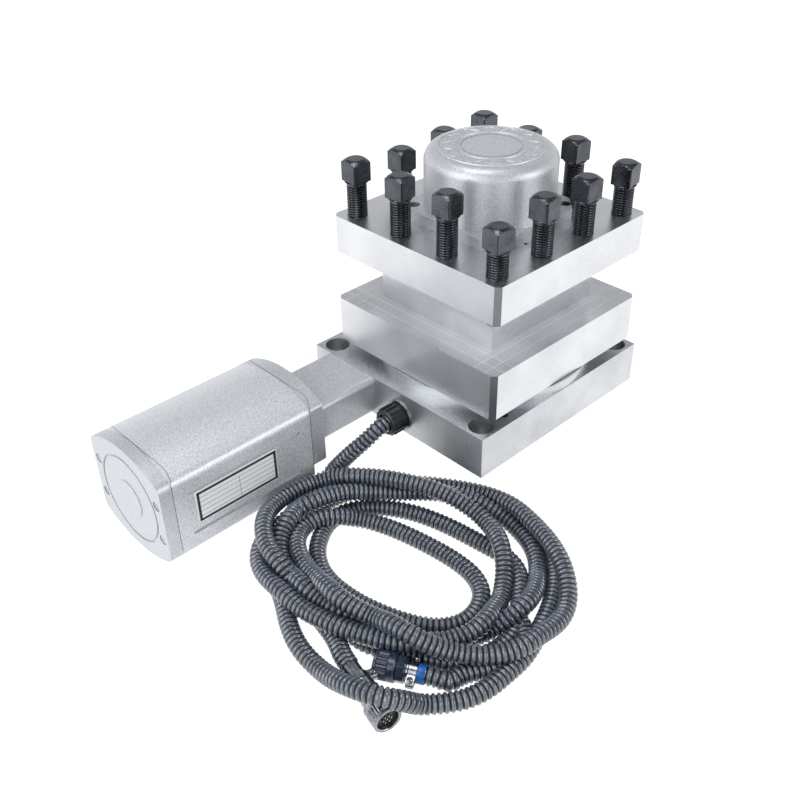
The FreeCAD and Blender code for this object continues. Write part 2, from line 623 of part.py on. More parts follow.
def make_wheel():
    """The bronze worm wheel, its teeth leaning with the worm's lead."""
    lead = math.atan(number("gear_module / worm_pitch_diameter"))
    width = number("wheel_width")
    lean = width * math.tan(lead) / number(WHEEL_PITCH_RADIUS)
    sizes = (number("gear_module"), int(number("wheel_teeth")), number("mesh_backlash"))
    ends = [gear_wire(*sizes, 0.0, -lean / 2), gear_wire(*sizes, width, lean / 2)]
    rim = Part.makeLoft(ends, True, True)
    hub = Part.makeCylinder(number("hub_radius"), width)
    recess_inner = number("lift_radius + 2")
    recess_outer = number("%s - 2.2 * gear_module - 4" % WHEEL_PITCH_RADIUS)
    recess = Part.makeCylinder(recess_outer, 2).cut(Part.makeCylinder(recess_inner, 2))
    recess.translate(FreeCAD.Vector(0, 0, width - 2))
    return shaped("worm_wheel", rim.cut(hub).cut(recess), ("head_x", "head_y", WHEEL_BOTTOM))


def make_worm():
    """The worm with its shaft, its helical thread swept round the axis."""
    body = new_body("worm_shaft", WORM_PLACE)
    seat = "bearing_reach"
    end = "(bearing_reach + bearing_width)"
    gear_end = "(%s + 1 - head_x)" % FLANGE_REAR
    radius = "journal / 2"
    profile = [(gear_end, "0"), (end, "0"), (end, radius), (seat, radius), (seat, WORM_ROOT),
               ("-" + seat, WORM_ROOT), ("-" + seat, radius), (gear_end, radius)]
    revolve(body, outline(body, "XZ_Plane", profile), "H_Axis")
    half = "(%s / 4 - mesh_backlash / 4)" % WORM_PITCH
    slope = "(gear_module * tan(20))"
    wide = "(%s + 1.3 * %s)" % (half, slope)
    narrow = "(%s - %s)" % (half, slope)
    start = "-worm_half_length"
    foot = "%s - 0.15" % WORM_ROOT
    points = [("%s - %s" % (start, wide), foot), ("%s + %s" % (start, wide), foot),
              ("%s + %s" % (start, narrow), WORM_TIP), ("%s - %s" % (start, narrow), WORM_TIP)]
    tooth = outline(body, "XZ_Plane", points)
    thread = body.newObject("PartDesign::AdditiveHelix", "worm_thread")
    thread.Profile = tooth
    thread.ReferenceAxis = (tooth, ["H_Axis"])
    thread.Mode = "pitch-height-angle"
    bind(thread, "Pitch", WORM_PITCH)
    bind(thread, "Height", "2 * worm_half_length")
    body.Tip = thread
    # The worm is turned until a gap of its thread faces the wheel's middle tooth
    body.Placement = FreeCAD.Placement(body.Placement.Base, FreeCAD.Rotation(FreeCAD.Vector(1, 0, 0), 1))
    bind(body, "Placement.Rotation.Angle", "360 * (1 - mod(worm_half_length / %s + 0.25; 1))" % WORM_PITCH)
    pocket(body, hexagon(body, "YZ_Plane", "hex_socket", end), "hex_socket")
    return body


def make_head():
    """The square head: lower block, neck and top plate in one casting."""
    body = new_body("turret_head", HEAD_PLACE)
    pad(body, square(body, "XY_Plane", "head_side", HEAD_BOTTOM), "block_height")
    dress(body, "Chamfer", "corner_chamfer", upright)
    pad(body, square(body, "XY_Plane", "neck_side", BLOCK_TOP), "slot_height")
    plate = pad(body, square(body, "XY_Plane", "head_side", PLATE_BOTTOM), "plate_height")
    level = number(PLATE_BOTTOM)
    dress(body, "Chamfer", "corner_chamfer",
          lambda edge: upright(edge) and min(point.Point.z for point in edge.Vertexes) > level - 0.01)
    pocket(body, circles(body, "XY_Plane", [(CENTRE, "ring_outer + pocket_clearance")], HEAD_BOTTOM),
           "%s - %s" % (POCKET_TOP, HEAD_BOTTOM), reverse=True)
    pocket(body, circles(body, "XY_Plane", [(CENTRE, "nut_radius")], POCKET_TOP), "nut_length", reverse=True)
    pocket(body, circles(body, "XY_Plane", [(CENTRE, UPPER_BORE)], PLATE_TOP),
           "%s - %s" % (PLATE_TOP, NUT_SEAT))
    holes = [(("%s * clamp_pitch" % across, "%s * clamp_pitch" % along), "clamp_thread / 2 + slide_clearance")
             for across, along in CLAMP_SPOTS]
    pocket(body, circles(body, "XY_Plane", holes, PLATE_TOP), "plate_height")
    half = "cover_hole_spacing / 2"
    spots = [(sx + half, sy + half) for sx in ("-", "") for sy in ("-", "")]
    threads = [(spot, "cover_screw / 2") for spot in spots]
    pocket(body, circles(body, "XY_Plane", threads, PLATE_TOP), "cover_screw_length + 1")
    oil = ("-1.5 * clamp_pitch / 3.5", "-(cover_flange_side / 2 + oil_hole)")
    pocket(body, circles(body, "XY_Plane", [(oil, "oil_hole / 2")], PLATE_TOP), "4 * oil_hole")
    return body


def make_lift_screw():
    """The lift screw and its hub, which the wheel is pressed on."""
    bore = "spindle_radius + slide_clearance"
    profile = [(bore, WHEEL_BOTTOM), ("hub_radius", WHEEL_BOTTOM), ("hub_radius", WHEEL_TOP),
               ("lift_radius", WHEEL_TOP), ("lift_radius", LIFT_TOP), (bore, LIFT_TOP)]
    return turned("lift_screw", profile, "V_Axis", HEAD_PLACE)


def make_lift_nut():
    """The flanged bronze nut in the head, with the two holes that ride on the drive pins."""
    body = new_body("lift_nut", HEAD_PLACE)
    inner = "lift_radius + nut_clearance"
    profile = [(inner, POCKET_TOP), ("nut_radius", POCKET_TOP), ("nut_radius", NUT_SEAT),
               (UPPER_BORE, NUT_SEAT), (UPPER_BORE, NUT_TOP), (inner, NUT_TOP)]
    revolve(body, outline(body, "XZ_Plane", profile), "V_Axis")
    holes = [((sign + "pin_circle", "0"), "pin_radius + slide_clearance") for sign in ("-", "")]
    pocket(body, circles(body, "XY_Plane", holes, NUT_TOP), "nut_length + nut_flange")
    return body


def make_index_sleeve():
    """The sleeve that turns on the spindle and carries the head round."""
    body = new_body("index_sleeve", HEAD_PLACE)
    bore = "spindle_radius + slide_clearance"
    top = "(%s + sleeve_flange)" % SLEEVE_FLANGE
    profile = [(bore, SLEEVE_BOTTOM), ("sleeve_hub", SLEEVE_BOTTOM), ("sleeve_hub", SLEEVE_FLANGE),
               ("sleeve_flange_radius", SLEEVE_FLANGE), ("sleeve_flange_radius", top), ("sleeve_hub", top),
               ("sleeve_hub", SLEEVE_TOP), (bore, SLEEVE_TOP)]
    revolve(body, outline(body, "XZ_Plane", profile), "V_Axis")
    holes = [((sign + "pin_circle", "0"), "pin_radius") for sign in ("-", "")]
    pocket(body, circles(body, "XY_Plane", holes, top), "sleeve_flange")
    return body


def make_stop_disc():
    """The disc fixed on the spindle, with a sloping notch for each of the four positions."""
    body = new_body("index_stop_disc", HEAD_PLACE)
    profile = [("spindle_thread", STOP_BOTTOM), ("stop_radius", STOP_BOTTOM), ("stop_radius", STOP_TOP),
               ("spindle_thread", STOP_TOP)]
    revolve(body, outline(body, "XZ_Plane", profile), "V_Axis")
    far = "(stop_radius + 1)"
    near = "(stop_radius - stop_notch)"
    notch = outline(body, "XY_Plane", [(near, "-stop_notch"), (far, "-stop_notch"), (far, "2 * stop_notch"),
                                       (near, "0")], STOP_TOP)
    cut = pocket(body, notch, "stop_thickness")
    polar(body, cut, "4")
    return body


def make_spindle_nut():
    """The slotted nut that holds the stop disc down."""
    body = new_body("spindle_nut", HEAD_PLACE)
    profile = [("spindle_thread", STOP_TOP), ("spindle_nut_radius", STOP_TOP),
               ("spindle_nut_radius", SPINDLE_NUT_TOP), ("spindle_thread", SPINDLE_NUT_TOP)]
    revolve(body, outline(body, "XZ_Plane", profile), "V_Axis")
    slot = rectangle(body, "XY_Plane", ("spindle_nut_radius - 3", "-2.5"), ("spindle_nut_radius + 1", "2.5"),
                     SPINDLE_NUT_TOP)
    cut = pocket(body, slot, "spindle_nut_height")
    polar(body, cut, "4")
    return body


def make_cover():
    """The top cover: a square flange with cut corners under a hollow round cap."""
    body = new_body("top_cover", HEAD_PLACE)
    pad(body, square(body, "XY_Plane", "cover_flange_side", PLATE_TOP), "cover_flange")
    dress(body, "Chamfer", "cover_corner", upright)
    pad(body, circles(body, "XY_Plane", [(CENTRE, "cover_radius")], PLATE_TOP), "cover_height")
    top = number(COVER_TOP)
    dress(body, "Fillet", "cover_round",
          lambda edge: len(edge.Vertexes) == 1 and abs(edge.Vertexes[0].Point.z - top) < 0.01)
    pocket(body, circles(body, "XY_Plane", [(CENTRE, "cover_radius - cover_wall")], PLATE_TOP),
           "cover_height - cover_wall", reverse=True)
    outer, inner = ("cover_rim", "(cover_rim - 1.5)")
    floor = "(%s - cover_rim_depth)" % COVER_TOP
    groove(body, outline(body, "XZ_Plane", [(inner, floor), (outer, floor), (outer, "%s + 1" % COVER_TOP),
                                            (inner, "%s + 1" % COVER_TOP)]), "V_Axis")
    half = "cover_hole_spacing / 2"
    spots = [(sx + half, sy + half) for sx in ("-", "") for sy in ("-", "")]
    seat = "(%s + cover_flange)" % PLATE_TOP
    pocket(body, circles(body, "XY_Plane", [(spot, "cover_screw / 2 + 0.25") for spot in spots], seat),
           "cover_flange")
    pocket(body, circles(body, "XY_Plane", [(spot, "0.95 * cover_screw") for spot in spots], seat),
           "cover_screw + 0.5")
    return body


def make_clamp_screw(index):
    """One of the twelve square-headed screws that clamp the tools."""
    across, along = CLAMP_SPOTS[index]
    stand = CLAMP_STANDS[index]
    whole = "(clamp_length + clamp_collar + clamp_head_height)"
    place = ("head_x + %s * clamp_pitch" % across, "head_y + %s * clamp_pitch" % along,
             "%s + %s - %s" % (PLATE_TOP, stand, whole))
    body = new_body("clamp_screw_%d" % (index + 1), place)
    radius = "clamp_thread / 2"
    collar = "(clamp_length + clamp_collar)"
    profile = [("0", "0"), (radius + " - 1.5", "0"), (radius, "1.5"), (radius, "clamp_length"),
               (radius + " + 0.6", "clamp_length"), (radius + " + 0.6", collar), ("0", collar)]
    revolve(body, outline(body, "XZ_Plane", profile), "V_Axis")
    pad(body, square(body, "XY_Plane", "clamp_head", collar), "clamp_head_height")
    corner = "(clamp_head * 0.75)"
    dome = [("clamp_head * 0.45", whole), (corner, "%s - 3.2" % whole), (corner, whole)]
    groove(body, outline(body, "XZ_Plane", dome), "V_Axis")
    return body


def long_edges(body):
    """Tell which edges run along X at the corners of a body's section."""
    box = body.Shape.BoundBox
    inner = (box.YMax - box.YMin) / 2 - 1
    middle = (box.YMax + box.YMin) / 2

    def test(edge):
        return along_x(edge) and abs(edge.Vertexes[0].Y - middle) > inner
    return test


def make_bracket():
    """The hollow bracket between base and motor flange."""
    body = new_body("motor_bracket")
    pad(body, rectangle(body, "YZ_Plane", ("bracket_near", "bracket_bottom"), ("bracket_far", "bracket_top"),
                        FLANGE_FRONT), "bracket_length")
    doc.recompute()
    dress(body, "Fillet", "bracket_round", long_edges(body))
    low = ("bracket_near + bracket_wall", "bracket_bottom + bracket_wall")
    high = ("bracket_far - bracket_wall", "bracket_top - bracket_wall")
    pocket(body, rectangle(body, "YZ_Plane", low, high, FLANGE_FRONT), "bracket_length", reverse=True)
    return body


def make_flange():
    """The motor flange, with the pocket that houses the two spur gears."""
    body = new_body("motor_flange", MOTOR_PLACE)
    pad(body, bowed_outline(body, "-flange_drop", FLANGE_REAR), "flange_thickness")
    doc.recompute()
    dress(body, "Fillet", "motor_round / 2", long_edges(body))
    worm = ("-%s * cos(spur_angle)" % SPUR_CENTRES, "%s * sin(spur_angle)" % SPUR_CENTRES)
    driven = "spur_module * (driven_teeth / 2 + 1) + gear_room"
    pinion = "spur_module * (pinion_teeth / 2 + 1) + gear_room"
    for centre, radius in ((worm, driven), (CENTRE, pinion)):
        pocket(body, circles(body, "YZ_Plane", [(centre, radius)], FLANGE_REAR), "spur_width + 3", reverse=True)
    pocket(body, circles(body, "YZ_Plane", [(worm, "journal / 2 + 1")], FLANGE_REAR), "flange_thickness",
           reverse=True)
    return body


def make_casing():
    """The motor's casing: bowed section, bored, with long grooves on both sides."""
    body = new_body("motor_casing", MOTOR_PLACE)
    pad(body, bowed_outline(body, None, MOTOR_REAR), "motor_length")
    doc.recompute()
    dress(body, "Fillet", "motor_round", long_edges(body))
    pocket(body, circles(body, "YZ_Plane", [(CENTRE, "motor_bore")], MOTOR_REAR),
           "motor_length - motor_front_wall", reverse=True)
    pocket(body, circles(body, "YZ_Plane", [(CENTRE, "motor_bearing")], MOTOR_REAR), "motor_length",
           reverse=True)
    spots = [(sy + "rear_screw_y", sz + "rear_screw_z") for sy in ("-", "") for sz in ("-", "")]
    pocket(body, circles(body, "YZ_Plane", [(spot, "rear_screw / 2") for spot in spots], MOTOR_REAR),
           "4 * rear_screw", reverse=True)
    start = "(%s + (motor_length - side_groove_length) / 2)" % MOTOR_REAR
    finish = "(%s + side_groove_length)" % start
    for sign in ("-", ""):
        low = (start, "%sside_groove_rise - side_groove / 2" % sign)
        high = (finish, "%sside_groove_rise + side_groove / 2" % sign)
        pocket(body, rectangle(body, "XZ_Plane", low, high, "motor_width / 2"), "side_groove_depth")
        pocket(body, rectangle(body, "XZ_Plane", low, high, "-motor_width / 2"), "side_groove_depth",
               reverse=True)
    return body


def make_rear_cover():
    """The motor's rear cover, with a bearing seat inside and a plain raised disc outside."""
    body = new_body("motor_rear_cover", MOTOR_PLACE)
    pad(body, bowed_outline(body, None, COVER_REAR), "rear_cover_length")
    doc.recompute()
    dress(body, "Fillet", "motor_round", long_edges(body))
    pocket(body, circles(body, "YZ_Plane", [(CENTRE, "motor_bearing")], MOTOR_REAR), "rear_cover_length - 3")
    rim = [(COVER_REAR, "rear_ring"), ("%s + 1" % COVER_REAR, "rear_ring"),
           ("%s + 1" % COVER_REAR, "rear_ring - 2"), (COVER_REAR, "rear_ring - 2")]
    groove(body, outline(body, "XZ_Plane", rim), "H_Axis")
    spots = [(sy + "rear_screw_y", sz + "rear_screw_z") for sy in ("-", "") for sz in ("-", "")]
    pocket(body, circles(body, "YZ_Plane", [(spot, "rear_screw / 2 + 0.25") for spot in spots], MOTOR_REAR),
           "rear_cover_length")
    pocket(body, circles(body, "YZ_Plane", [(spot, "rear_screw") for spot in spots], COVER_REAR),
           "rear_screw * 0.6", reverse=True)
    pad(body, circles(body, "YZ_Plane", [(CENTRE, "rear_disc")], COVER_REAR), "rear_disc_rise", reverse=True)
    return body


def along(label, profile, place, turn=None):
    """Make a piece turned about its own X axis, and swing it about Z if asked."""
    body = turned(label, profile, "H_Axis", place)
    if turn:
        bind(body, "Placement.Rotation.Angle", turn)
    return body


def tube_profile(inner, outer, start, finish):
    """Give the half section of a plain ring about X."""
    return [(start, inner), (finish, inner), (finish, outer), (start, outer)]


def make_bearings():
    """The two bearings of the worm and the two of the motor."""
    bore = "journal / 2 + slide_clearance"
    near = "(bearing_reach + axial_clearance)"
    far = "(%s + bearing_width)" % near
    along("worm_bearing_1", tube_profile(bore, "bearing_outer / 2", "-" + far, "-" + near), WORM_PLACE)
    along("worm_bearing_2", tube_profile(bore, "bearing_outer / 2", near, far), WORM_PLACE)
    bore = "motor_shaft + slide_clearance"
    front = "(%s - motor_front_wall)" % FLANGE_REAR
    along("motor_bearing_1", tube_profile(bore, "motor_bearing", front, FLANGE_REAR), MOTOR_PLACE)
    rear = "(%s - motor_front_wall)" % MOTOR_REAR
    along("motor_bearing_2", tube_profile(bore, "motor_bearing", rear, MOTOR_REAR), MOTOR_PLACE)


def make_stator():
    """The stator: a core pressed into the casing, and its windings past both ends."""
    middle = "((%s + %s - motor_front_wall) / 2)" % (MOTOR_REAR, FLANGE_REAR)
    start, finish = ("(%s - rotor_length / 2)" % middle, "(%s + rotor_length / 2)" % middle)
    inner = "rotor_radius + rotor_gap"
    along("stator_core", tube_profile(inner, "motor_bore", start, finish), MOTOR_PLACE)
    outer = "motor_bore - 1.5"
    body = new_body("stator_winding_rear", MOTOR_PLACE)
    head = [(start, inner + " + 2"), (start, outer), ("%s - winding_overhang" % start, outer),
            ("%s - winding_overhang" % start, inner + " + 4")]
    revolve(body, outline(body, "XZ_Plane", head), "H_Axis")
    body = new_body("stator_winding_front", MOTOR_PLACE)
    head = [(finish, inner + " + 2"), (finish, outer), ("%s + winding_overhang" % finish, outer),
            ("%s + winding_overhang" % finish, inner + " + 4")]
    revolve(body, outline(body, "XZ_Plane", head), "H_Axis")


def make_rotor():
    """The rotor with its shaft, stepped down at the front for the pinion."""
    middle = "((%s + %s - motor_front_wall) / 2)" % (MOTOR_REAR, FLANGE_REAR)
    start, finish = ("(%s - rotor_length / 2)" % middle, "(%s + rotor_length / 2)" % middle)
    tail = "(%s - motor_front_wall + axial_clearance)" % MOTOR_REAR
    step = "(%s + axial_clearance)" % FLANGE_REAR
    nose = "(%s + 1.5 + spur_width)" % FLANGE_REAR
    profile = [(tail, "0"), (tail, "motor_shaft"), (start, "motor_shaft"), (start, "rotor_radius"),
               (finish, "rotor_radius"), (finish, "motor_shaft"), (step, "motor_shaft"), (step, "pinion_seat"),
               (nose, "pinion_seat"), (nose, "0")]
    return along("rotor", profile, MOTOR_PLACE)


def make_spur(label, teeth, bore, place, phase):
    """One of the two spur gears between motor and worm, turned into mesh."""
    sizes = (number("spur_module"), int(number(teeth)), number("spur_backlash"))
    wires = [gear_wire(*sizes, 0.0, phase), gear_wire(*sizes, number("spur_width"), phase)]
    gear = Part.makeLoft(wires, True, True).cut(Part.makeCylinder(number(bore), number("spur_width")))
    upright_to_x = FreeCAD.Rotation(FreeCAD.Vector(0, 1, 0), 90)
    return shaped(label, gear, place, upright_to_x)


def make_spurs():
    """The pinion on the motor's shaft and the larger gear on the worm's."""
    start = "(%s + 1.5)" % FLANGE_REAR
    # The turned gears count their angle from -Z towards +Y; each has a tooth or a gap on the line of centres
    fall = math.radians(90 - number("spur_angle"))
    driven_teeth = int(number("driven_teeth"))
    make_spur("motor_pinion", "pinion_teeth", "pinion_seat", (start, MOTOR_Y, MOTOR_Z), fall + math.pi)
    make_spur("driven_gear", "driven_teeth", "journal / 2", (start, WORM_Y, "worm_height"),
              fall + math.pi / driven_teeth)


def make_gland():
    """The cable gland: body, washer and ribbed nut, from the base outwards."""
    place = ("0", "gland_y", "gland_z")
    seat = "(%s - gland_washer_gauge)" % BASE_FACE
    collar = "(%s - gland_collar_length)" % seat
    nose = "(%s - gland_collar_length * 2)" % collar
    end = "(%s - gland_nut_length)" % collar
    throat = "(conduit_radius + conduit_room)"
    wall = "(%s + gland_collar_length)" % throat
    washer = tube_profile("gland_thread + slide_clearance", "gland_washer", seat, BASE_FACE)
    along("gland_washer", washer, place)
    profile = [("%s + gland_reach" % BASE_FACE, "gland_bore"), ("%s + gland_reach" % BASE_FACE, "gland_thread"),
               (seat, "gland_thread"), (seat, "gland_collar"), (collar, "gland_collar"), (collar, wall),
               (nose, wall), (nose, throat), (collar, throat), (collar, "gland_bore")]
    along("gland_body", profile, place)
    body = new_body("gland_nut", place)
    rim = "(gland_nut - gland_rib)"
    room = "(%s + slide_clearance)" % wall
    profile = [(collar, room), (collar, rim), ("%s + gland_rib" % end, rim), (end, "%s - gland_rib" % rim),
               (end, throat), ("%s - slide_clearance" % nose, throat), ("%s - slide_clearance" % nose, room)]
    revolve(body, outline(body, "XZ_Plane", profile), "H_Axis")
    rib = rectangle(body, "YZ_Plane", ("-gland_rib / 2", "%s - 0.5" % rim), ("gland_rib / 2", "gland_nut"),
                    collar)
    polar(body, pad(body, rib, "gland_nut_length - 2 * gland_rib", reverse=True), "gland_ribs", "X_Axis")
    return body


def make_nameplate():
    """The bare plate on the near side of the casing."""
    body = new_body("nameplate", MOTOR_PLACE)
    start = "(%s + plate_inset)" % MOTOR_REAR
    low = (start, "plate_rise - plate_width / 2")
    high = ("%s + plate_length" % start, "plate_rise + plate_width / 2")
    pad(body, rectangle(body, "XZ_Plane", low, high, "motor_width / 2"), "plate_gauge")
    dress(body, "Fillet", "2 * plate_gauge", lambda edge: abs(edge.Length - number("plate_gauge")) < 0.01)
    return body


def make_rear_screws():
    """The four sunk cap screws of the motor's rear cover."""
    body = new_body("rear_cover_screws", MOTOR_PLACE)
    spots = [(sy + "rear_screw_y", sz + "rear_screw_z") for sy in ("-", "") for sz in ("-", "")]
    seat = "(%s + rear_screw * 0.6)" % COVER_REAR
    pad(body, circles(body, "YZ_Plane", [(spot, "rear_screw * 0.85") for spot in spots], seat),
        "rear_screw * 0.5", reverse=True)
    shanks = circles(body, "YZ_Plane", [(spot, "rear_screw / 2") for spot in spots], seat)
    pad(body, shanks, "rear_cover_length + 2 * rear_screw")
    return body


def make_cover_screws():
    """The four cap screws of the top cover."""
    body = new_body("cover_screws", HEAD_PLACE)
    half = "cover_hole_spacing / 2"
    spots = [(sx + half, sy + half) for sx in ("-", "") for sy in ("-", "")]
    seat = "(%s + cover_flange - cover_screw - 0.5)" % PLATE_TOP
    pad(body, circles(body, "XY_Plane", [(spot, "0.85 * cover_screw") for spot in spots], seat), "cover_screw")
    shanks = circles(body, "XY_Plane", [(spot, "cover_screw / 2") for spot in spots], seat)
    pad(body, shanks, "cover_screw_length", reverse=True)
    return body


def make_drive_pins():
    """The two pins that carry the head round with the sleeve and let it lift."""
    body = new_body("drive_pins", HEAD_PLACE)
    spots = [(sign + "pin_circle", "0") for sign in ("-", "")]
    top = "(%s + sleeve_flange)" % SLEEVE_FLANGE
    pins = circles(body, "XY_Plane", [(spot, "pin_radius") for spot in spots], top)
    pad(body, pins, "sleeve_flange + pin_reach", reverse=True)
    return body


def make_magnet():
    """The magnet on the cover's inner wall that tells the sensor disc the head's position."""
    body = new_body("position_magnet", HEAD_PLACE)
    wall = "(cover_radius - cover_wall)"
    face = "(sqrt(%s^2 - magnet_width^2 / 4) - 0.05)" % wall
    low = ("%s - magnet_depth" % face, "-magnet_width / 2")
    pad(body, rectangle(body, "XY_Plane", low, (face, "magnet_width / 2"), "%s + axial_clearance" % PLATE_TOP),
        "magnet_height")
    return body


def make_rings_and_discs():
    """The plain turned pieces: washer, plug, sensor disc and its nut."""
    bore = "spindle_radius + slide_clearance"
    ring("thrust_washer", bore, "washer_radius", "floor_thickness", "%s - slide_clearance" % WHEEL_BOTTOM,
         HEAD_PLACE)
    start = "(base_side / 2 - plug_length)"
    along("worm_end_plug", [(start, "0"), ("base_side / 2", "0"), ("base_side / 2", "plug_diameter / 2"),
                            (start, "plug_diameter / 2")], ("0", WORM_Y, "worm_height"))
    ring("sensor_disc", "sensor_seat", "sensor_radius", SENSOR_BOTTOM, SENSOR_TOP, HEAD_PLACE)
    body = new_body("sensor_nut", HEAD_PLACE)
    pad(body, hexagon(body, "XY_Plane", "3 * sensor_seat", SENSOR_TOP), "sensor_nut_height")
    pocket(body, circles(body, "XY_Plane", [(CENTRE, "sensor_seat")], SENSOR_TOP), "sensor_nut_height",
           reverse=True)


def make_lead():
    """The conduit from the gland down to the coil: straight runs joined by tangent arcs."""
    exit_x = "(%s - gland_washer_gauge - gland_collar_length)" % BASE_FACE
    start = FreeCAD.Vector(number(exit_x), number("gland_y"), number("gland_z"))
    # Points of the conduit's middle line after the gland, chosen along its fall to the coil
    places = [start, start + FreeCAD.Vector(-17, 0, 0), FreeCAD.Vector(-138, -6, 5.2),
              FreeCAD.Vector(-160, -7, -2.6)]
    edges = []
    previous = places[0]
    for before, here, after in zip(places, places[1:], places[2:]):
        incoming, outgoing = ((here - before).normalize(), (after - here).normalize())
        turn = incoming.getAngle(outgoing)
        reach = 0.45 * min(here.distanceToPoint(before), here.distanceToPoint(after))
        radius = reach / math.tan(turn / 2)
        print("conduit turns %.0f degrees with radius %.0f mm" % (math.degrees(turn), radius))
        enter, leave = (here - incoming * reach, here + outgoing * reach)
        inward = (outgoing - incoming).normalize()
        crown = here + inward * (radius / math.cos(turn / 2) - radius)
        edges.append(Part.LineSegment(previous, enter).toShape())
        edges.append(Part.Arc(enter, crown, leave).toShape())
        previous = leave
    edges.append(Part.LineSegment(previous, places[-1]).toShape())
    path = Part.Wire(edges)
    section = Part.Wire([Part.makeCircle(number("conduit_radius"), places[0], places[1] - places[0])])
    tube = path.makePipeShell([section], True, False)
    expected = math.pi * number("conduit_radius") ** 2 * path.Length
    print("conduit lead %.1f mm long, %.4f of its section times length" % (path.Length, tube.Volume / expected))
    return shaped("conduit_lead", tube, ("0", "0", "0"))


def make_coil():
    """The loose coil of conduit as one closed ring of its outer shape, open where the plugs lie."""
    shoulder = "(coil_top - 1.5 * conduit_radius)"
    profile = [("coil_inner", "rest_level"), ("coil_outer", "rest_level"), ("coil_outer", shoulder),
               ("coil_outer - conduit_radius", "coil_top"), ("coil_inner + 3 * conduit_radius", "coil_top"),
               ("coil_inner", shoulder)]
    body = turned("conduit_coil", profile, "V_Axis", ("coil_x", "coil_y", "0"))
    # The notch follows the rear plug: its long side runs beside the plug, its end meets the plug's tail
    beside = "(plug_shell + plug_room)"
    length = "(rear_plug_length + plug_clamp + rear_plug_tail)"
    along_x, along_y = ("cos(rear_plug_turn)", "sin(rear_plug_turn)")
    side_x = "(rear_plug_x - coil_x - %s * %s)" % (beside, along_y)
    side_y = "(rear_plug_y - coil_y + %s * %s)" % (beside, along_x)
    start = ("%s - plug_shell * %s" % (side_x, along_x), "%s - plug_shell * %s" % (side_y, along_y))
    end = ("(%s + %s * %s)" % (side_x, length, along_x), "(%s + %s * %s)" % (side_y, length, along_y))
    far = ("%s + coil_inner * %s" % (end[0], along_y), "%s - coil_inner * %s" % (end[1], along_x))
    outside = "-(coil_outer + 1)"
    points = [start, end, far, (outside, far[1]), (outside, start[1])]
    pocket(body, outline(body, "XY_Plane", points), "-rest_level")
    return body


def make_plug(label, place, turn, length, insert_depth):
    """A round plug's shell and body, open at the mouth as deep as its insert."""
    profile = [("0", "plug_insert"), ("0", "plug_shell"), ("plug_shell_length", "plug_shell"),
               ("plug_shell_length + 1", "plug_body"), (length, "plug_body"), (length, "0"),
               (insert_depth, "0"), (insert_depth, "plug_insert")]
    return along(label, profile, place, turn)


def make_plug_clamp(label, place, turn, length, tail):
    """The saddle clamp behind a plug, with an ear on each side and the cable's tail."""
    end = "(%s + plug_clamp)" % length
    body = along(label, [(length, "0"), (length, "plug_body - 1"), (end, "plug_tail"),
                         ("%s + %s" % (end, tail), "plug_tail"), ("%s + %s" % (end, tail), "0")], place, turn)
    low = ("(%s + 2)" % length, "-plug_ear")
    high = ("(%s - 2)" % end, "plug_ear")
    pad(body, rectangle(body, "XY_Plane", low, high, "-plug_clamp / 4"), "plug_clamp / 2")
    return body


def make_plugs():
    """The two plugs that lie at the coil's far end."""
    level = "(rest_level + plug_shell)"
    front = ("front_plug_x", "front_plug_y", level)
    rear = ("rear_plug_x", "rear_plug_y", level)
    depth = "2 * plug_mouth"
    insert = [("plug_mouth", "0"), ("plug_mouth", "plug_insert"), (depth, "plug_insert"), (depth, "0")]
    make_plug("front_plug_shell", front, "front_plug_turn", "front_plug_length", depth)
    along("front_plug_insert", insert, front, "front_plug_turn")
    make_plug_clamp("front_plug_clamp", front, "front_plug_turn", "front_plug_length", "front_plug_tail")
    body = make_plug("rear_plug_shell", rear, "rear_plug_turn", "rear_plug_length", depth)
    flats = hexagon(body, "YZ_Plane", "2 * plug_body", "rear_plug_length - plug_mouth")
    pad(body, flats, "plug_mouth")
    along("rear_plug_insert", insert, rear, "rear_plug_turn")
    make_plug_clamp("rear_plug_clamp", rear, "rear_plug_turn", "rear_plug_length", "rear_plug_tail")


def sub_parts():
    """List the objects that are sub-parts: every body and every shape set in code."""
    return [item for item in doc.Objects if item.TypeId in ("PartDesign::Body", "Part::Feature")]


def check_model():
    """Stop if any object failed or any sub-part is not one or more valid solids."""
    doc.recompute()
    broken = [item.Label for item in doc.Objects if "Invalid" in item.State or "Error" in item.State]
    if broken:
        raise RuntimeError("objects that failed: " + ", ".join(broken))
    for item in sub_parts():
        shape = item.Shape
        if shape.isNull() or not shape.isValid() or not shape.Solids:
            raise RuntimeError("no valid solid in " + item.Label)


def write_parts():
    """Write one file for each sub-part."""
    os.makedirs("parts", exist_ok=True)
    for item in sub_parts():
        item.Shape.exportStep("parts/%s.step" % item.Label)


# The fixed parts
make_base()
make_spindle()
toothed_ring("lower_toothed_ring", True)
make_stop_disc()
make_spindle_nut()
make_rings_and_discs()
make_bearings()

# The worm drive
make_wheel()
make_lift_screw()
make_worm()
make_spurs()

# The sleeve that carries the head round, and the head
make_index_sleeve()
make_drive_pins()
make_head()
toothed_ring("upper_toothed_ring", False)
make_lift_nut()
make_cover()
make_cover_screws()
make_magnet()
for number_of_screw in range(len(CLAMP_SPOTS)):
    make_clamp_screw(number_of_screw)

# The motor and its mounting
make_bracket()
make_flange()
make_casing()
make_rear_cover()
make_rear_screws()
make_nameplate()
make_stator()
make_rotor()

# The cable gland, the conduit and its plugs
make_gland()
make_lead()
make_coil()
make_plugs()

check_model()
write_parts()
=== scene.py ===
"""A four-position lathe tool turret, dressed around its CAD frame.

The CAD nodes keep their shapes and get procedural finishes. Threaded clamp screws, the
corrugated conduit, its plugs, the cover's border, the scribed lines, the casing's seams and
the nameplate's blank table are pieces of this file. Lengths are in metres unless a name ends
in mm.
"""

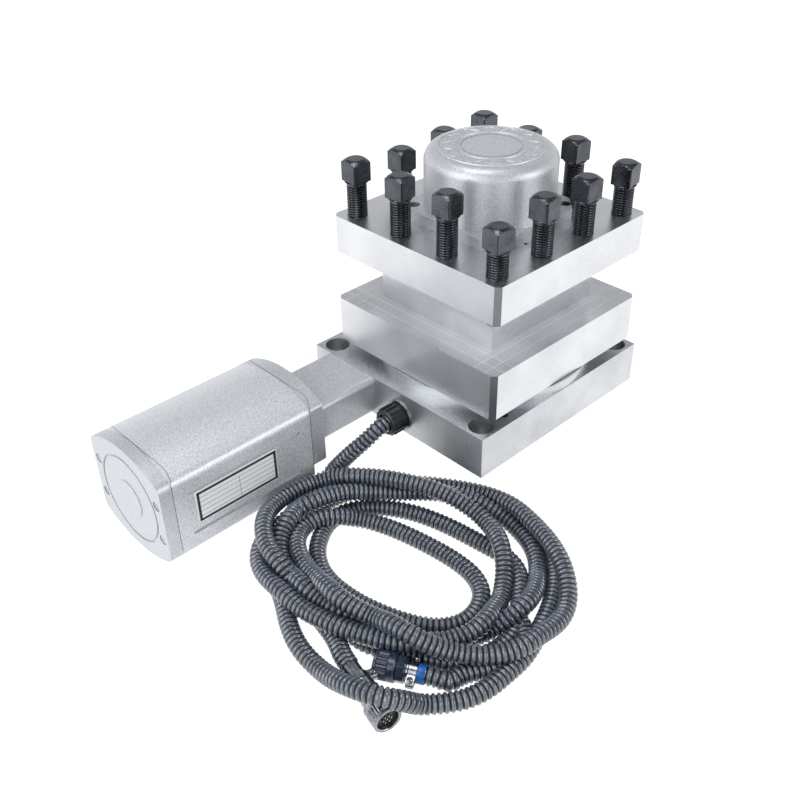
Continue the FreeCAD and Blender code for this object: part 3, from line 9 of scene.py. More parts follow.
import json
import logging
import math
from collections.abc import Callable, Iterable, Sequence
from dataclasses import dataclass
from enum import Enum

import bpy
from mathutils import Matrix, Vector


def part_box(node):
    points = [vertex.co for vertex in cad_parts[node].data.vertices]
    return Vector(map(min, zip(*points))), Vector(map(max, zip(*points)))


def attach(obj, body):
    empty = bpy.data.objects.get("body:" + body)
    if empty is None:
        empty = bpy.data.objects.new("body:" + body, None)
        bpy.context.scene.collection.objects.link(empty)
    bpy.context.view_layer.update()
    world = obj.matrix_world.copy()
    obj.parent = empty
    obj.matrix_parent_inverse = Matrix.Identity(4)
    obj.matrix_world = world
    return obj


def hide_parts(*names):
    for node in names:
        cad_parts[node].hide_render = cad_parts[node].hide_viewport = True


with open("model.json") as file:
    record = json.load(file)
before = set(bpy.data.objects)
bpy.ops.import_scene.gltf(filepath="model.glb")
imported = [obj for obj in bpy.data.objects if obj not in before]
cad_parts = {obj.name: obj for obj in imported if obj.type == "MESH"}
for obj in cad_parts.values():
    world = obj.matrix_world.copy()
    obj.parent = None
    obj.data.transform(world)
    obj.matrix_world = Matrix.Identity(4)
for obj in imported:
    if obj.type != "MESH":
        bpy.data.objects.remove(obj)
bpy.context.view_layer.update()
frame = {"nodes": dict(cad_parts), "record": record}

LOG = logging.getLogger("turret")
MM = 0.001

# Places in the CAD frame: the stage under the coil, the head's axis and the levels of its steps
FLOOR_Z = -0.042
HEAD_X, HEAD_Y = 0.005, -0.006
BLOCK_TOP_Z = 0.0835
PLATE_TOP_Z = 0.157
COVER_TOP_Z = 0.213
CLAMP_PITCH = 0.0486

# Room between a CAD face and a thin strip laid on it, so that the two don't lie in one plane
SKIN_GAP = 0.00001

# Faces of a bar between two rings of four corners
BOX_FACES = ((0, 1, 5, 4), (1, 2, 6, 5), (2, 3, 7, 6), (0, 4, 7, 3), (0, 3, 2, 1), (4, 5, 6, 7))

Point = tuple[float, float, float]
Shell = tuple[list[Vector], list[tuple[int, ...]]]


# ---------------------------------------------------------------- shading helpers


def srgb(colour: str) -> tuple[float, float, float, float]:
    """Turn a hex colour as seen on a screen into linear light.

    Args:
        colour: Six hex digits after a hash sign.

    Returns:
        Red, green, blue and an alpha of one.
    """
    parts = [int(colour[start:start + 2], 16) / 255 for start in (1, 3, 5)]
    # The sRGB curve: straight near black, then a power
    light = [part / 12.92 if part <= 0.04045 else ((part + 0.055) / 1.055) ** 2.4 for part in parts]
    return (light[0], light[1], light[2], 1.0)


def add_node(tree: bpy.types.NodeTree, kind: str, links: dict | None = None,
             **settings: object) -> bpy.types.Node:
    """Add a shader node with its settings and its incoming links.

    Args:
        tree: The node tree that the node goes into.
        kind: The node's type, without the ShaderNode prefix.
        links: Input name or number to an output socket, or to a plain value.
        settings: The node's own properties.

    Returns:
        The new node.
    """
    node = tree.nodes.new("ShaderNode" + kind)
    for name, setting in settings.items():
        setattr(node, name, setting)
    for where, source in (links or {}).items():
        socket = node.inputs[where]
        if isinstance(source, bpy.types.NodeSocket):
            tree.links.new(source, socket)
        else:
            socket.default_value = source
    return node


def ramp(tree: bpy.types.NodeTree, source: bpy.types.NodeSocket,
         stops: Sequence[tuple[float, str]]) -> bpy.types.NodeSocket:
    """Colour a value with stops along a ramp.

    Args:
        tree: The node tree.
        source: The value from 0 to 1.
        stops: Places along the ramp with their hex colours.

    Returns:
        The ramp's colour output.
    """
    node = add_node(tree, "ValToRGB", {"Fac": source})
    elements = node.color_ramp.elements
    while len(elements) < len(stops):
        elements.new(0.5)
    for element, (place, colour) in zip(elements, stops):
        element.position = place
        element.color = srgb(colour)
    return node.outputs["Color"]


def new_material(name: str) -> tuple[bpy.types.Material, bpy.types.NodeTree, bpy.types.Node]:
    """Make an empty material with its surface shader.

    Args:
        name: The material's name.

    Returns:
        The material, its node tree and its Principled shader.
    """
    material = bpy.data.materials.new(name)
    material.use_nodes = True
    tree = material.node_tree
    tree.nodes.clear()
    shader = add_node(tree, "BsdfPrincipled")
    add_node(tree, "OutputMaterial", {"Surface": shader.outputs["BSDF"]})
    return material, tree, shader


def noise(tree: bpy.types.NodeTree, size_mm: float, stretch: Point = (1.0, 1.0, 1.0),
          detail: float = 2.0) -> bpy.types.NodeSocket:
    """Noise whose patches have a real size.

    Args:
        tree: The node tree.
        size_mm: Width of one patch in millimetres.
        stretch: How many times longer a patch is along each axis.
        detail: Finer octaves on top of the patches.

    Returns:
        The noise value from 0 to 1.
    """
    place = add_node(tree, "TexCoord").outputs["Object"]
    scale = tuple(1000.0 / size_mm / amount for amount in stretch)
    mapped = add_node(tree, "Mapping", {"Vector": place, "Scale": scale}).outputs["Vector"]
    texture = add_node(tree, "TexNoise", {"Vector": mapped, "Scale": 1.0, "Detail": detail})
    return texture.outputs["Fac"]


def bump(tree: bpy.types.NodeTree, height: bpy.types.NodeSocket, depth_mm: float) -> bpy.types.NodeSocket:
    """Turn a height into a normal.

    Args:
        tree: The node tree.
        height: The height from 0 to 1.
        depth_mm: Real depth of the relief in millimetres.

    Returns:
        The bumped normal.
    """
    node = add_node(tree, "Bump", {"Height": height, "Distance": depth_mm * MM, "Strength": 1.0})
    return node.outputs["Normal"]


def spread(tree: bpy.types.NodeTree, source: bpy.types.NodeSocket, low: float,
           high: float) -> bpy.types.NodeSocket:
    """Map the middle of a noise value, where most of it lies, to a range.

    Args:
        tree: The node tree.
        source: The noise value.
        low: Result where the noise is low.
        high: Result where the noise is high.

    Returns:
        The mapped value.
    """
    node = add_node(tree, "MapRange", {"Value": source, "From Min": 0.3, "From Max": 0.7,
                                       "To Min": low, "To Max": high})
    return node.outputs["Result"]


def background_share(tree: bpy.types.NodeTree) -> bpy.types.NodeSocket:
    """Tell the rays of camera, gloss and glass, which meet the white background, from the light's.

    Args:
        tree: The node tree of the floor or the surround.

    Returns:
        1 for a ray that meets the background, and 0 for one that gathers light.
    """
    path = add_node(tree, "LightPath").outputs
    seen = path["Is Camera Ray"]
    for kind in ("Is Glossy Ray", "Is Transmission Ray"):
        seen = add_node(tree, "Math", {0: seen, 1: path[kind]}, operation="MAXIMUM").outputs["Value"]
    return seen


# ---------------------------------------------------------------- finishes


@dataclass(frozen=True)
class MetalFinish:
    """Bare metal: how it was cut decides its grain and its gloss."""

    name: str
    dark: str
    light: str
    roughness: tuple[float, float]
    grain_mm: float
    stretch: Point
    grain_depth_mm: float
    cloud_mm: float = 38.0
    # Colour of the painted shade, a dark reflection, on the upright corners; empty for none
    corner: str = ""

    def build(self) -> bpy.types.Material:
        """Build the node material.

        Returns:
            The material.
        """
        material, tree, shader = new_material(self.name)
        grain = noise(tree, self.grain_mm, self.stretch, 3.0)
        cloud = noise(tree, self.cloud_mm)
        both = add_node(tree, "Math", {0: grain, 1: cloud}, operation="ADD")
        half = add_node(tree, "Math", {0: both.outputs["Value"], 1: 0.5}, operation="MULTIPLY")
        colour = ramp(tree, half.outputs["Value"], [(0.36, self.dark), (0.64, self.light)])
        # Painted shade on the upright corners
        if self.corner:
            colour = self.paint_corner_shade(tree, colour)
        tree.links.new(colour, shader.inputs["Base Color"])
        tree.links.new(spread(tree, grain, *self.roughness), shader.inputs["Roughness"])
        tree.links.new(bump(tree, grain, self.grain_depth_mm), shader.inputs["Normal"])
        shader.inputs["Metallic"].default_value = 1.0
        return material

    def paint_corner_shade(self, tree: bpy.types.NodeTree,
                       colour: bpy.types.NodeSocket) -> bpy.types.NodeSocket:
        """Leave the upright corners darker, where a face points half along X and half along Y.

        This is painted shade: a dark reflection, painted as colour on the head's chamfers and on a
        screw's rounded corners.

        Args:
            tree: The node tree.
            colour: The colour of the ground faces.

        Returns:
            The colour with the corners in it.
        """
        facing = add_node(tree, "SeparateXYZ", {"Vector": add_node(tree, "TexCoord").outputs["Normal"]})
        both = add_node(tree, "Math", {0: facing.outputs["X"], 1: facing.outputs["Y"]},
                        operation="MULTIPLY")
        size = add_node(tree, "Math", {0: both.outputs["Value"]}, operation="ABSOLUTE")
        # The product of X and Y is 0.5 at 45 degrees, and less on either side
        share = add_node(tree, "MapRange", {"Value": size.outputs["Value"], "From Min": 0.38,
                                            "From Max": 0.46})
        return add_node(tree, "MixRGB", {"Fac": share.outputs["Result"], "Color1": colour,
                                         "Color2": srgb(self.corner)}).outputs["Color"]


@dataclass(frozen=True)
class GritFinish:
    """An even skin of fine grit: cast and painted, blasted, lacquered or scribed."""

    name: str
    dark: str
    light: str
    grit_mm: float
    grit_depth_mm: float
    roughness: float
    metallic: float

    def build(self) -> bpy.types.Material:
        """Build the node material.

        Returns:
            The material.
        """
        material, tree, shader = new_material(self.name)
        grit = noise(tree, self.grit_mm, detail=3.0)
        colour = ramp(tree, grit, [(0.36, self.dark), (0.64, self.light)])
        tree.links.new(colour, shader.inputs["Base Color"])
        # The grains' faces are a little smoother than the hollows between them
        rough = spread(tree, grit, self.roughness - 0.08, self.roughness + 0.08)
        tree.links.new(rough, shader.inputs["Roughness"])
        tree.links.new(bump(tree, grit, self.grit_depth_mm), shader.inputs["Normal"])
        shader.inputs["Metallic"].default_value = self.metallic
        shader.inputs["IOR"].default_value = 1.5
        return material


@dataclass(frozen=True)
class MouldedFinish:
    """A moulded or coated non-metal with a fine texture."""

    name: str
    dark: str
    light: str
    patch_mm: float
    depth_mm: float
    roughness: tuple[float, float]
    ior: float = 1.5
    coat: float = 0.0

    def build(self) -> bpy.types.Material:
        """Build the node material.

        Returns:
            The material.
        """
        material, tree, shader = new_material(self.name)
        patch = noise(tree, self.patch_mm)
        colour = ramp(tree, patch, [(0.35, self.dark), (0.65, self.light)])
        tree.links.new(colour, shader.inputs["Base Color"])
        tree.links.new(spread(tree, patch, *self.roughness), shader.inputs["Roughness"])
        tree.links.new(bump(tree, patch, self.depth_mm), shader.inputs["Normal"])
        shader.inputs["IOR"].default_value = self.ior
        shader.inputs["Coat Weight"].default_value = self.coat
        return material


@dataclass(frozen=True)
class WoundFinish:
    """Enamelled copper wire or stacked sheet: fine parallel bands across the motor's length."""

    name: str
    dark: str
    light: str
    band_mm: float
    metallic: float
    roughness: float
    band_depth_mm: float = 0.2

    def build(self) -> bpy.types.Material:
        """Build the node material.

        Returns:
            The material.
        """
        material, tree, shader = new_material(self.name)
        place = add_node(tree, "TexCoord").outputs["Object"]
        # A wave's scale of 1 gives a band of about 0.314 units, so the band's real width sets it
        wave = add_node(tree, "TexWave", {"Vector": place, "Scale": 314.0 / self.band_mm,
                                          "Distortion": 0.6}, bands_direction="X").outputs["Fac"]
        colour = ramp(tree, wave, [(0.1, self.dark), (0.8, self.light)])
        tree.links.new(colour, shader.inputs["Base Color"])
        tree.links.new(bump(tree, wave, self.band_depth_mm), shader.inputs["Normal"])
        shader.inputs["Metallic"].default_value = self.metallic
        shader.inputs["Roughness"].default_value = self.roughness
        return material


class Finish(Enum):
    """Every finish on the turret."""

    # Carbon steel, surface ground: pale, with fine parallel scratches, which are drawn 0.55 mm
    # wide so that they show. The upright chamfers get painted shade, a dark reflection, in the corner colour
    GROUND = MetalFinish("ground_carbon_steel", "#cdcfd3", "#e2e3e6", (0.26, 0.4), 0.55,
                         (14.0, 1.0, 1.0), 0.006, corner="#7b7e82")
    # Carbon steel, milled: the base's coarser, greyer skin, its grain drawn 0.8 mm wide
    MILLED = MetalFinish("milled_carbon_steel", "#b6b8bc", "#d8dadd", (0.32, 0.48), 0.8,
                         (3.0, 3.0, 1.0), 0.014)
    # Alloy steel, quenched and blackened: a dark satin oxide in faint clouds 9 mm wide. The rounded corners
    # get painted shade, a dark reflection, in the corner colour
    BLACK_OXIDE = MetalFinish("black_oxide_alloy_steel", "#484a4f", "#5f6267", (0.18, 0.3), 1.4,
                              (1.0, 1.0, 1.0), 0.006, 9.0, corner="#232428")
    # Aluminium, sand cast and painted silver: matt grit that sparkles where it turns to the
    # light, of about 0.4 mm, drawn 0.9 mm wide so that it shows
    CAST = GritFinish("sand_cast_aluminium", "#bcbfc5", "#e6e9ed", 0.9, 0.13, 0.38, 0.4)
    # The same paint over a sand-blasted extrusion: the grit is finer and the skin smoother
    BLASTED = GritFinish("blasted_aluminium", "#b0b3b8", "#d6d9dd", 0.8, 0.09, 0.42, 0.5)
    # Tin bronze, turned: warm yellow-brown with turning marks
    BRONZE = MetalFinish("turned_tin_bronze", "#9c7238", "#c39a55", (0.28, 0.42), 0.5,
                         (6.0, 6.0, 1.0), 0.01)
    # Medium carbon steel, turned: bright and even
    TURNED = MetalFinish("turned_carbon_steel", "#989b9f", "#b9bcc0", (0.22, 0.36), 0.4,
                         (5.0, 5.0, 1.0), 0.006)
    # Bearing steel, lapped: nearly a mirror
    LAPPED = MetalFinish("lapped_bearing_steel", "#b4b7bb", "#cdd0d4", (0.12, 0.2), 0.4,
                         (6.0, 6.0, 1.0), 0.002)
    # Silicon steel sheet, stacked: 0.5 mm sheets, drawn 0.8 mm thick
    STACKED = WoundFinish("stacked_silicon_steel", "#5c5f63", "#8b8e92", 0.8, 0.9, 0.45)
    # Enamelled copper wire, wound: 0.8 mm wire
    WOUND = WoundFinish("enamelled_copper_wire", "#6e2f16", "#b4642f", 0.8, 0.6, 0.35)
    # Aluminium sheet, lacquered pale: the nameplate's smooth satin face
    PLATE = GritFinish("lacquered_aluminium_sheet", "#eceef0", "#fafbfc", 0.6, 0.01, 0.38, 0.0)
    # Plasticised PVC over a steel strip, extruded: glossy blue-grey
    CONDUIT = MouldedFinish("extruded_grey_pvc", "#454c59", "#636b78", 6.0, 0.008, (0.1, 0.2), 1.58, 1.0)
    # The same PVC down in the grooves, painted near black as shade
    GROOVE = MouldedFinish("groove_shade_pvc", "#0c0d10", "#17191d", 3.0, 0.03, (0.55, 0.7), 1.5)
    # Nylon, injection moulded: black with a faint sheen
    NYLON = MouldedFinish("moulded_black_nylon", "#17181b", "#26282c", 1.2, 0.05, (0.3, 0.45), 1.53)
    # Glass fibre board, laminated, under a smooth green solder mask
    BOARD = MouldedFinish("glass_fibre_board", "#14502c", "#1d6a3b", 2.0, 0.02, (0.25, 0.4), 1.55)
    # Sintered neodymium, nickel plated: a bright, slightly warm skin
    MAGNET = MetalFinish("nickelled_magnet", "#a8a69f", "#c4c2bb", (0.16, 0.26), 0.6,
                         (1.0, 1.0, 1.0), 0.004)
    # Zinc alloy, die cast and bright nickel plated, a little tarnished: the front plug's shell,
    # both cable clamps and the gland's washer
    NICKEL = MetalFinish("nickel_plated_zinc", "#74777d", "#b0b3b9", (0.14, 0.3), 1.5,
                         (1.0, 1.0, 1.0), 0.02, 8.0)
    # Zinc alloy, die cast and enamelled navy: satin, with a soft sheen of its own
    NAVY = MouldedFinish("navy_enamelled_zinc", "#1c2438", "#2b3650", 2.0, 0.02, (0.25, 0.4), 1.5, 0.3)
    # Phenolic resin, moulded: the plugs' black, nearly matt inserts
    PHENOLIC = MouldedFinish("moulded_phenolic", "#0e0f11", "#1d1e21", 1.5, 0.04, (0.35, 0.5), 1.6)
    # Copper alloy contacts, silver plated: bright and slightly warm
    CONTACT = MetalFinish("silver_plated_contact", "#86847c", "#a8a69e", (0.18, 0.28), 0.8,
                          (1.0, 1.0, 1.0), 0.004)
    # Polyolefin sleeve, shrunk on: bright blue
    SLEEVE = MouldedFinish("blue_shrunk_sleeve", "#1558a4", "#2272c2", 2.5, 0.03, (0.3, 0.45), 1.49)
    # Steel cut open by a scriber: the burr catches the light, so it looks pale and half matt
    SCRIBED = GritFinish("scribed_bright_steel", "#e9eaec", "#f8f8f9", 0.8, 0.01, 0.5, 0.2)
    # Black ink, printed on the nameplate and settled in the casing's seams: flat and dark
    INKED = MouldedFinish("etched_black_ink", "#1b1c20", "#2c2e33", 1.0, 0.01, (0.4, 0.55), 1.5)

    def material(self) -> bpy.types.Material:
        """Return the finish's material, built at its first use."""
        found = bpy.data.materials.get(self.value.name)
        return found or self.value.build()


SLOT_FINISH = {
    "ground_steel": Finish.GROUND, "black_oxide": Finish.BLACK_OXIDE, "cast_silver": Finish.CAST,
    "bronze": Finish.BRONZE, "machined_steel": Finish.TURNED, "bearing_steel": Finish.LAPPED,
    "core_steel": Finish.STACKED, "winding": Finish.WOUND, "bare_plate": Finish.PLATE,
    "conduit": Finish.CONDUIT, "gland_black": Finish.NYLON, "sensor_board": Finish.BOARD,
    "magnet": Finish.MAGNET, "plug_silver": Finish.NICKEL, "plug_navy": Finish.NAVY,
    "plug_black": Finish.PHENOLIC,
}
NODE_FINISH = {
    "base_plate": Finish.MILLED, "motor_bracket": Finish.BLASTED, "motor_flange": Finish.BLASTED,
    "motor_rear_cover": Finish.BLASTED, "top_cover": Finish.BLASTED, "gland_washer": Finish.NICKEL,
    "rear_cover_screws": Finish.TURNED,
}


def finish_piece(piece: bpy.types.Object, finish: Finish) -> bpy.types.Object:
    """Give a piece one finish all over.

    Args:
        piece: The piece.
        finish: Its finish.

    Returns:
        The same piece.
    """
    piece.data.materials.clear()
    piece.data.materials.append(finish.material())
    return piece


def dress_nodes() -> None:
    """Give every CAD node the finish of its material slot."""
    slots = {part["node"]: part["material_slot"] for part in frame["record"]["subparts"]}
    for name, node in frame["nodes"].items():
        finish_piece(node, NODE_FINISH.get(name, SLOT_FINISH[slots[name]]))
    LOG.info("finishes on %d CAD nodes", len(slots))


# ---------------------------------------------------------------- mesh helpers


def mesh_piece(name: str, points: Iterable[Sequence[float]], faces: Iterable[Sequence[int]],
               finish: Finish, smooth: bool = True) -> bpy.types.Object:
    """Make an object from points and faces.

    Args:
        name: The piece's name.
        points: Its vertices in metres.
        faces: Vertex numbers of each face.
        finish: Its finish.
        smooth: Whether its faces are shaded smooth.

    Returns:
        The new object, linked to the scene.
    """
    mesh = bpy.data.meshes.new(name)
    mesh.from_pydata([tuple(point) for point in points], [], [tuple(face) for face in faces])
    mesh.validate()
    mesh.update()
    if smooth:
        mesh.shade_smooth()
    piece = bpy.data.objects.new(name, mesh)
    bpy.context.scene.collection.objects.link(piece)
    return finish_piece(piece, finish)


def sharpen(piece: bpy.types.Object, degrees: float = 30.0) -> bpy.types.Object:
    """Keep the edges sharp whose faces turn by more than an angle, and return the piece."""
    piece.data.set_sharp_from_angle(angle=math.radians(degrees))
    return piece


def tube_rings(rings: Sequence[Sequence[Vector]]) -> Shell:
    """Skin a row of equal rings, with a face on the first and the last.

    Args:
        rings: Rings of points, each with the same count.

    Returns:
        The points and the faces.
    """
    count = len(rings[0])
    points = [point for each in rings for point in each]
    faces: list[tuple[int, ...]] = []
    for row in range(len(rings) - 1):
        first, second = row * count, (row + 1) * count
        for side in range(count):
            after = (side + 1) % count
            faces.append((first + side, first + after, second + after, second + side))
    faces.append(tuple(reversed(range(count))))
    faces.append(tuple(range(len(points) - count, len(points))))
    return points, faces


def add_shell(whole: Shell, shell: Shell) -> None:
    """Add a shell's points and faces to those of a piece.

    Args:
        whole: The piece's points and faces so far.
        shell: The new points and faces, numbered from 0.
    """
    points, faces = whole
    first = len(points)
    points += shell[0]
    faces += [tuple(corner + first for corner in face) for face in shell[1]]


def lathe_rings(profile: Sequence[tuple[float, float]], sides: int,
                shape: Callable[[float, float, float], float] | None = None) -> list[list[Vector]]:
    """Turn a profile about Z.

    Args:
        profile: Radius and height of each ring, in metres.
        sides: Points round a ring.
        shape: Optional change of a radius by its height and angle.

    Returns:
        The rings.
    """
    rings = []
    for radius, height in profile:
        around = []
        for side in range(sides):
            angle = 2 * math.pi * side / sides
            reach = shape(radius, height, angle) if shape else radius
            around.append(Vector((reach * math.cos(angle), reach * math.sin(angle), height)))
        rings.append(around)
    return rings


def aim(origin: Point, direction: Vector) -> Matrix:
    """Return the matrix that takes Z to a direction and the origin to a point."""
    return Matrix.Translation(Vector(origin)) @ direction.to_track_quat("Z", "X").to_matrix().to_4x4()


def place_mesh(piece: bpy.types.Object, matrix: Matrix) -> bpy.types.Object:
    """Move a piece's own mesh.

    Args:
        piece: The piece.
        matrix: Where its mesh goes.

    Returns:
        The same piece.
    """
    piece.data.transform(matrix)
    piece.data.update()
    return piece


def spline_line(points_mm: Sequence[Point]) -> list[Vector]:
    """Follow a smooth NURBS line whose control points are a route's points.

    Args:
        points_mm: The route's points in millimetres.

    Returns:
        Points along the line in metres.
    """
    curve = bpy.data.curves.new("route", "CURVE")
    curve.dimensions = "3D"
    curve.resolution_u = 16
    spline = curve.splines.new("NURBS")
    spline.points.add(len(points_mm) - 1)
    for knot, point in zip(spline.points, points_mm):
        knot.co = (point[0] * MM, point[1] * MM, point[2] * MM, 1.0)
    spline.order_u = 3
    spline.use_endpoint_u = True
    holder = bpy.data.objects.new("route", curve)
    line = bpy.data.meshes.new_from_object(holder)
    points = [vertex.co.copy() for vertex in line.vertices]
    bpy.data.objects.remove(holder)
    bpy.data.meshes.remove(line)
    bpy.data.curves.remove(curve)
    return points


def even_steps(line: Sequence[Vector], step: float) -> list[Vector]:
    """Walk a line in equal steps.

    Args:
        line: Points along the line.
        step: Wanted length of a step in metres.

    Returns:
        Points that far apart, from the line's start to its end.
    """
    lengths = [(after - before).length for before, after in zip(line, line[1:])]
    whole = sum(lengths)
    count = max(2, round(whole / step))
    walked, at, steps = 0.0, 0, [line[0].copy()]
    for index in range(1, count):
        target = whole * index / count
        while walked + lengths[at] < target:
            walked += lengths[at]
            at += 1
        steps.append(line[at].lerp(line[at + 1], (target - walked) / lengths[at]))
    return steps + [line[-1].copy()]


def carried_frames(line: Sequence[Vector]) -> list[tuple[Vector, Vector]]:
    """Carry a pair of cross directions along a line without twist.

    Args:
        line: Points along the line.

    Returns:
        For each point, two unit directions across the line.
    """
    frames = []
    side = Vector((0, 0, 1))
    for index in range(len(line)):
        ahead = (line[min(index + 1, len(line) - 1)] - line[max(index - 1, 0)]).normalized()
        side = (side - ahead * side.dot(ahead)).normalized()
        frames.append((side, ahead.cross(side)))
    return frames


# ---------------------------------------------------------------- sub-assemblies


@dataclass
class ClampScrews:
    """Twelve square-headed screws with rolled M16 threads, each on its own body."""

    thread_radius: float = 0.008
    thread_pitch: float = 0.002
    thread_depth: float = 0.00115
    steps_per_turn: int = 6
    sides: int = 28
    shank_length: float = 0.058
    point_length: float = 0.0016
    point_depth: float = 0.0015
    runout: float = 0.0012
    fade_length: float = 0.001
    collar_height: float = 0.0008
    collar_radius: float = 0.0093
    head_width: float = 0.0166
    head_height: float = 0.0176
    corner_round: float = 0.0009
    dome_height: float = 0.003
    dome_flat: float = 0.0062
    dome_spread: float = 0.0056
    dome_steps: int = 9
    # Places on the head in steps of the screws' pitch, and each screw's height over the top plate
    spots: tuple[tuple[float, float], ...] = (
        (-1.5, 1.5), (-1.5, 0.5), (-1.5, -0.5), (-1.5, -1.5), (-0.5, -1.5), (0.5, -1.5),
        (1.5, -1.5), (1.5, -0.5), (1.5, 0.5), (1.5, 1.5), (0.5, 1.5), (-0.5, 1.5))
    stands_mm: tuple[float, ...] = (
        46.0, 47.0, 48.5, 38.5, 45.5, 45.0, 42.0, 48.0, 44.0, 45.0, 44.0, 41.0)
    turns_deg: tuple[float, ...] = (
        -4.0, 6.0, 3.0, -7.0, 5.0, -3.0, 8.0, -5.0, 4.0, -2.0, 7.0, 0.0)

    def shank(self) -> Shell:
        """Build the threaded shank.

        Returns:
            Its points and faces.
        """
        rise = self.thread_pitch / self.steps_per_turn
        rows = int(self.shank_length / rise)
        end = self.shank_length - self.runout

        def reach(radius: float, height: float, angle: float) -> float:
            """Radius of the thread's surface, which runs out at the collar and at the point.

            Args:
                radius: The thread's outside radius.
                height: Height over the shank's point.
                angle: Angle round the shank.

            Returns:
                The radius there.
            """
            phase = (height / self.thread_pitch - angle / (2 * math.pi)) % 1.0
            tooth = 1.0 - abs(2 * phase - 1.0)
            # Crest and root stay flat over 15 % of the tooth's height each
            cut = self.thread_depth * max(0.0, min(1.0, (0.85 - tooth) / 0.7))
            fade = max(0.0, min(1.0, (end - height) / self.fade_length))
            point = max(0.0, (self.point_length - height) / self.point_length)
            return radius - cut * fade - self.point_depth * point

        profile = [(self.thread_radius, row * rise) for row in range(rows + 1)]
        return tube_rings(lathe_rings(profile, self.sides, reach))

    def head(self) -> Shell:
        """Build the collar and the square head with its domed top.

        Returns:
            Their points and faces.
        """
        low = self.shank_length + self.collar_height
        top = low + self.head_height
        inner = self.head_width / 2 - self.corner_round
        square: list[Vector] = []
        # Round each corner go seven points, and five along the side to the next corner
        for quarter in range(4):
            corner = math.pi / 2 * quarter + math.pi / 4
            centre = Vector((math.cos(corner), math.sin(corner))) * inner * math.sqrt(2)
            for step in range(7):
                angle = corner + math.pi / 4 * (step / 3 - 1)
                square.append(centre + Vector((math.cos(angle), math.sin(angle))) * self.corner_round)
            turned = corner + math.pi / 4
            face = Vector((math.cos(turned), math.sin(turned)))
            along = Vector((-math.sin(turned), math.cos(turned)))
            square += [face * self.head_width / 2 + along * inner * (step / 3 - 1)
                       for step in range(1, 6)]
        collar = [(0.0076, low - 0.00094), (0.0090, low - 0.0009), (self.collar_radius, low - 0.0006),
                  (self.collar_radius, low - 0.0002), (0.0090, low)]
        rings = [[spot.normalized().to_3d() * radius + Vector((0, 0, height)) for spot in square]
                 for radius, height in collar]
        # The dome is the square cut by a circle that narrows to the flat on top
        uncut = 2 * self.head_width
        levels = [(uncut, low + 0.0001), (uncut, top - 0.004)]
        for step in range(self.dome_steps + 1):
            share = 1 - step / self.dome_steps
            levels.append((self.dome_flat + self.dome_spread * share ** 0.8,
                           top - self.dome_height * share))
        for reach, height in levels:
            rings.append([(spot * min(1.0, reach / spot.length)).to_3d() + Vector((0, 0, height))
                          for spot in square])
        return tube_rings(rings)

    def build(self) -> None:
        """Build the twelve screws at their own heights."""
        whole = self.shank()
        add_shell(whole, self.head())
        height = self.shank_length + self.collar_height + self.head_height
        for index, (across, along) in enumerate(self.spots):
            name = f"clamp_screw_{index + 1}"
            piece = mesh_piece(f"clamp_screw_look_{index + 1}", *whole, Finish.BLACK_OXIDE)
            # Less than the 15 degrees between a rounded corner's facets, so that corners look crisp
            sharpen(piece, 14.0)
            tip = (HEAD_X + across * CLAMP_PITCH, HEAD_Y + along * CLAMP_PITCH,
                   PLATE_TOP_Z + self.stands_mm[index] * MM - height)
            turn = Matrix.Rotation(math.radians(self.turns_deg[index]), 4, "Z")
            place_mesh(piece, Matrix.Translation(tip) @ turn)
            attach(piece, f"clamp_{index + 1}")
            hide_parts(name)
        LOG.info("twelve clamp screws")


@dataclass
class HeadMarks:
    """Lines scribed along the lower block's ledge, two from each side, that cross at its corners."""

    block_half: float = 0.087
    half_length: float = 0.0866
    insets: tuple[float, float] = (0.0105, 0.021)
    width: float = 0.0007
    gauge: float = 0.00004
    # Half widths and heights of a line's cross-section
    section: tuple[tuple[float, float], ...] = ((-1, 0.0), (-0.6, 1.0), (0.6, 1.0), (1, 0.0))

    def line(self, offset: float, lengthwise: bool) -> Shell:
        """Build one line as a thin strip with a slanted edge each side.

        Args:
            offset: Its distance from the head's axis.
            lengthwise: Whether it runs along X.

        Returns:
            Its points and faces.
        """
        points = []
        for end in (-self.half_length, self.half_length):
            for side, lift in self.section:
                spot = (end, offset + side * self.width / 2)
                across, along = spot if lengthwise else spot[::-1]
                points.append(Vector((HEAD_X + across, HEAD_Y + along,
                                      BLOCK_TOP_Z + SKIN_GAP + lift * self.gauge)))
        return points, list(BOX_FACES)

    def build(self) -> None:
        """Lay the eight lines."""
        whole: Shell = ([], [])
        for inset in self.insets:
            for sign in (-1, 1):
                for lengthwise in (True, False):
                    add_shell(whole, self.line(sign * (self.block_half - inset), lengthwise))
        piece = mesh_piece("scribed_lines", *whole, Finish.SCRIBED, smooth=False)
        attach(piece, "head")
        LOG.info("scribed lines")


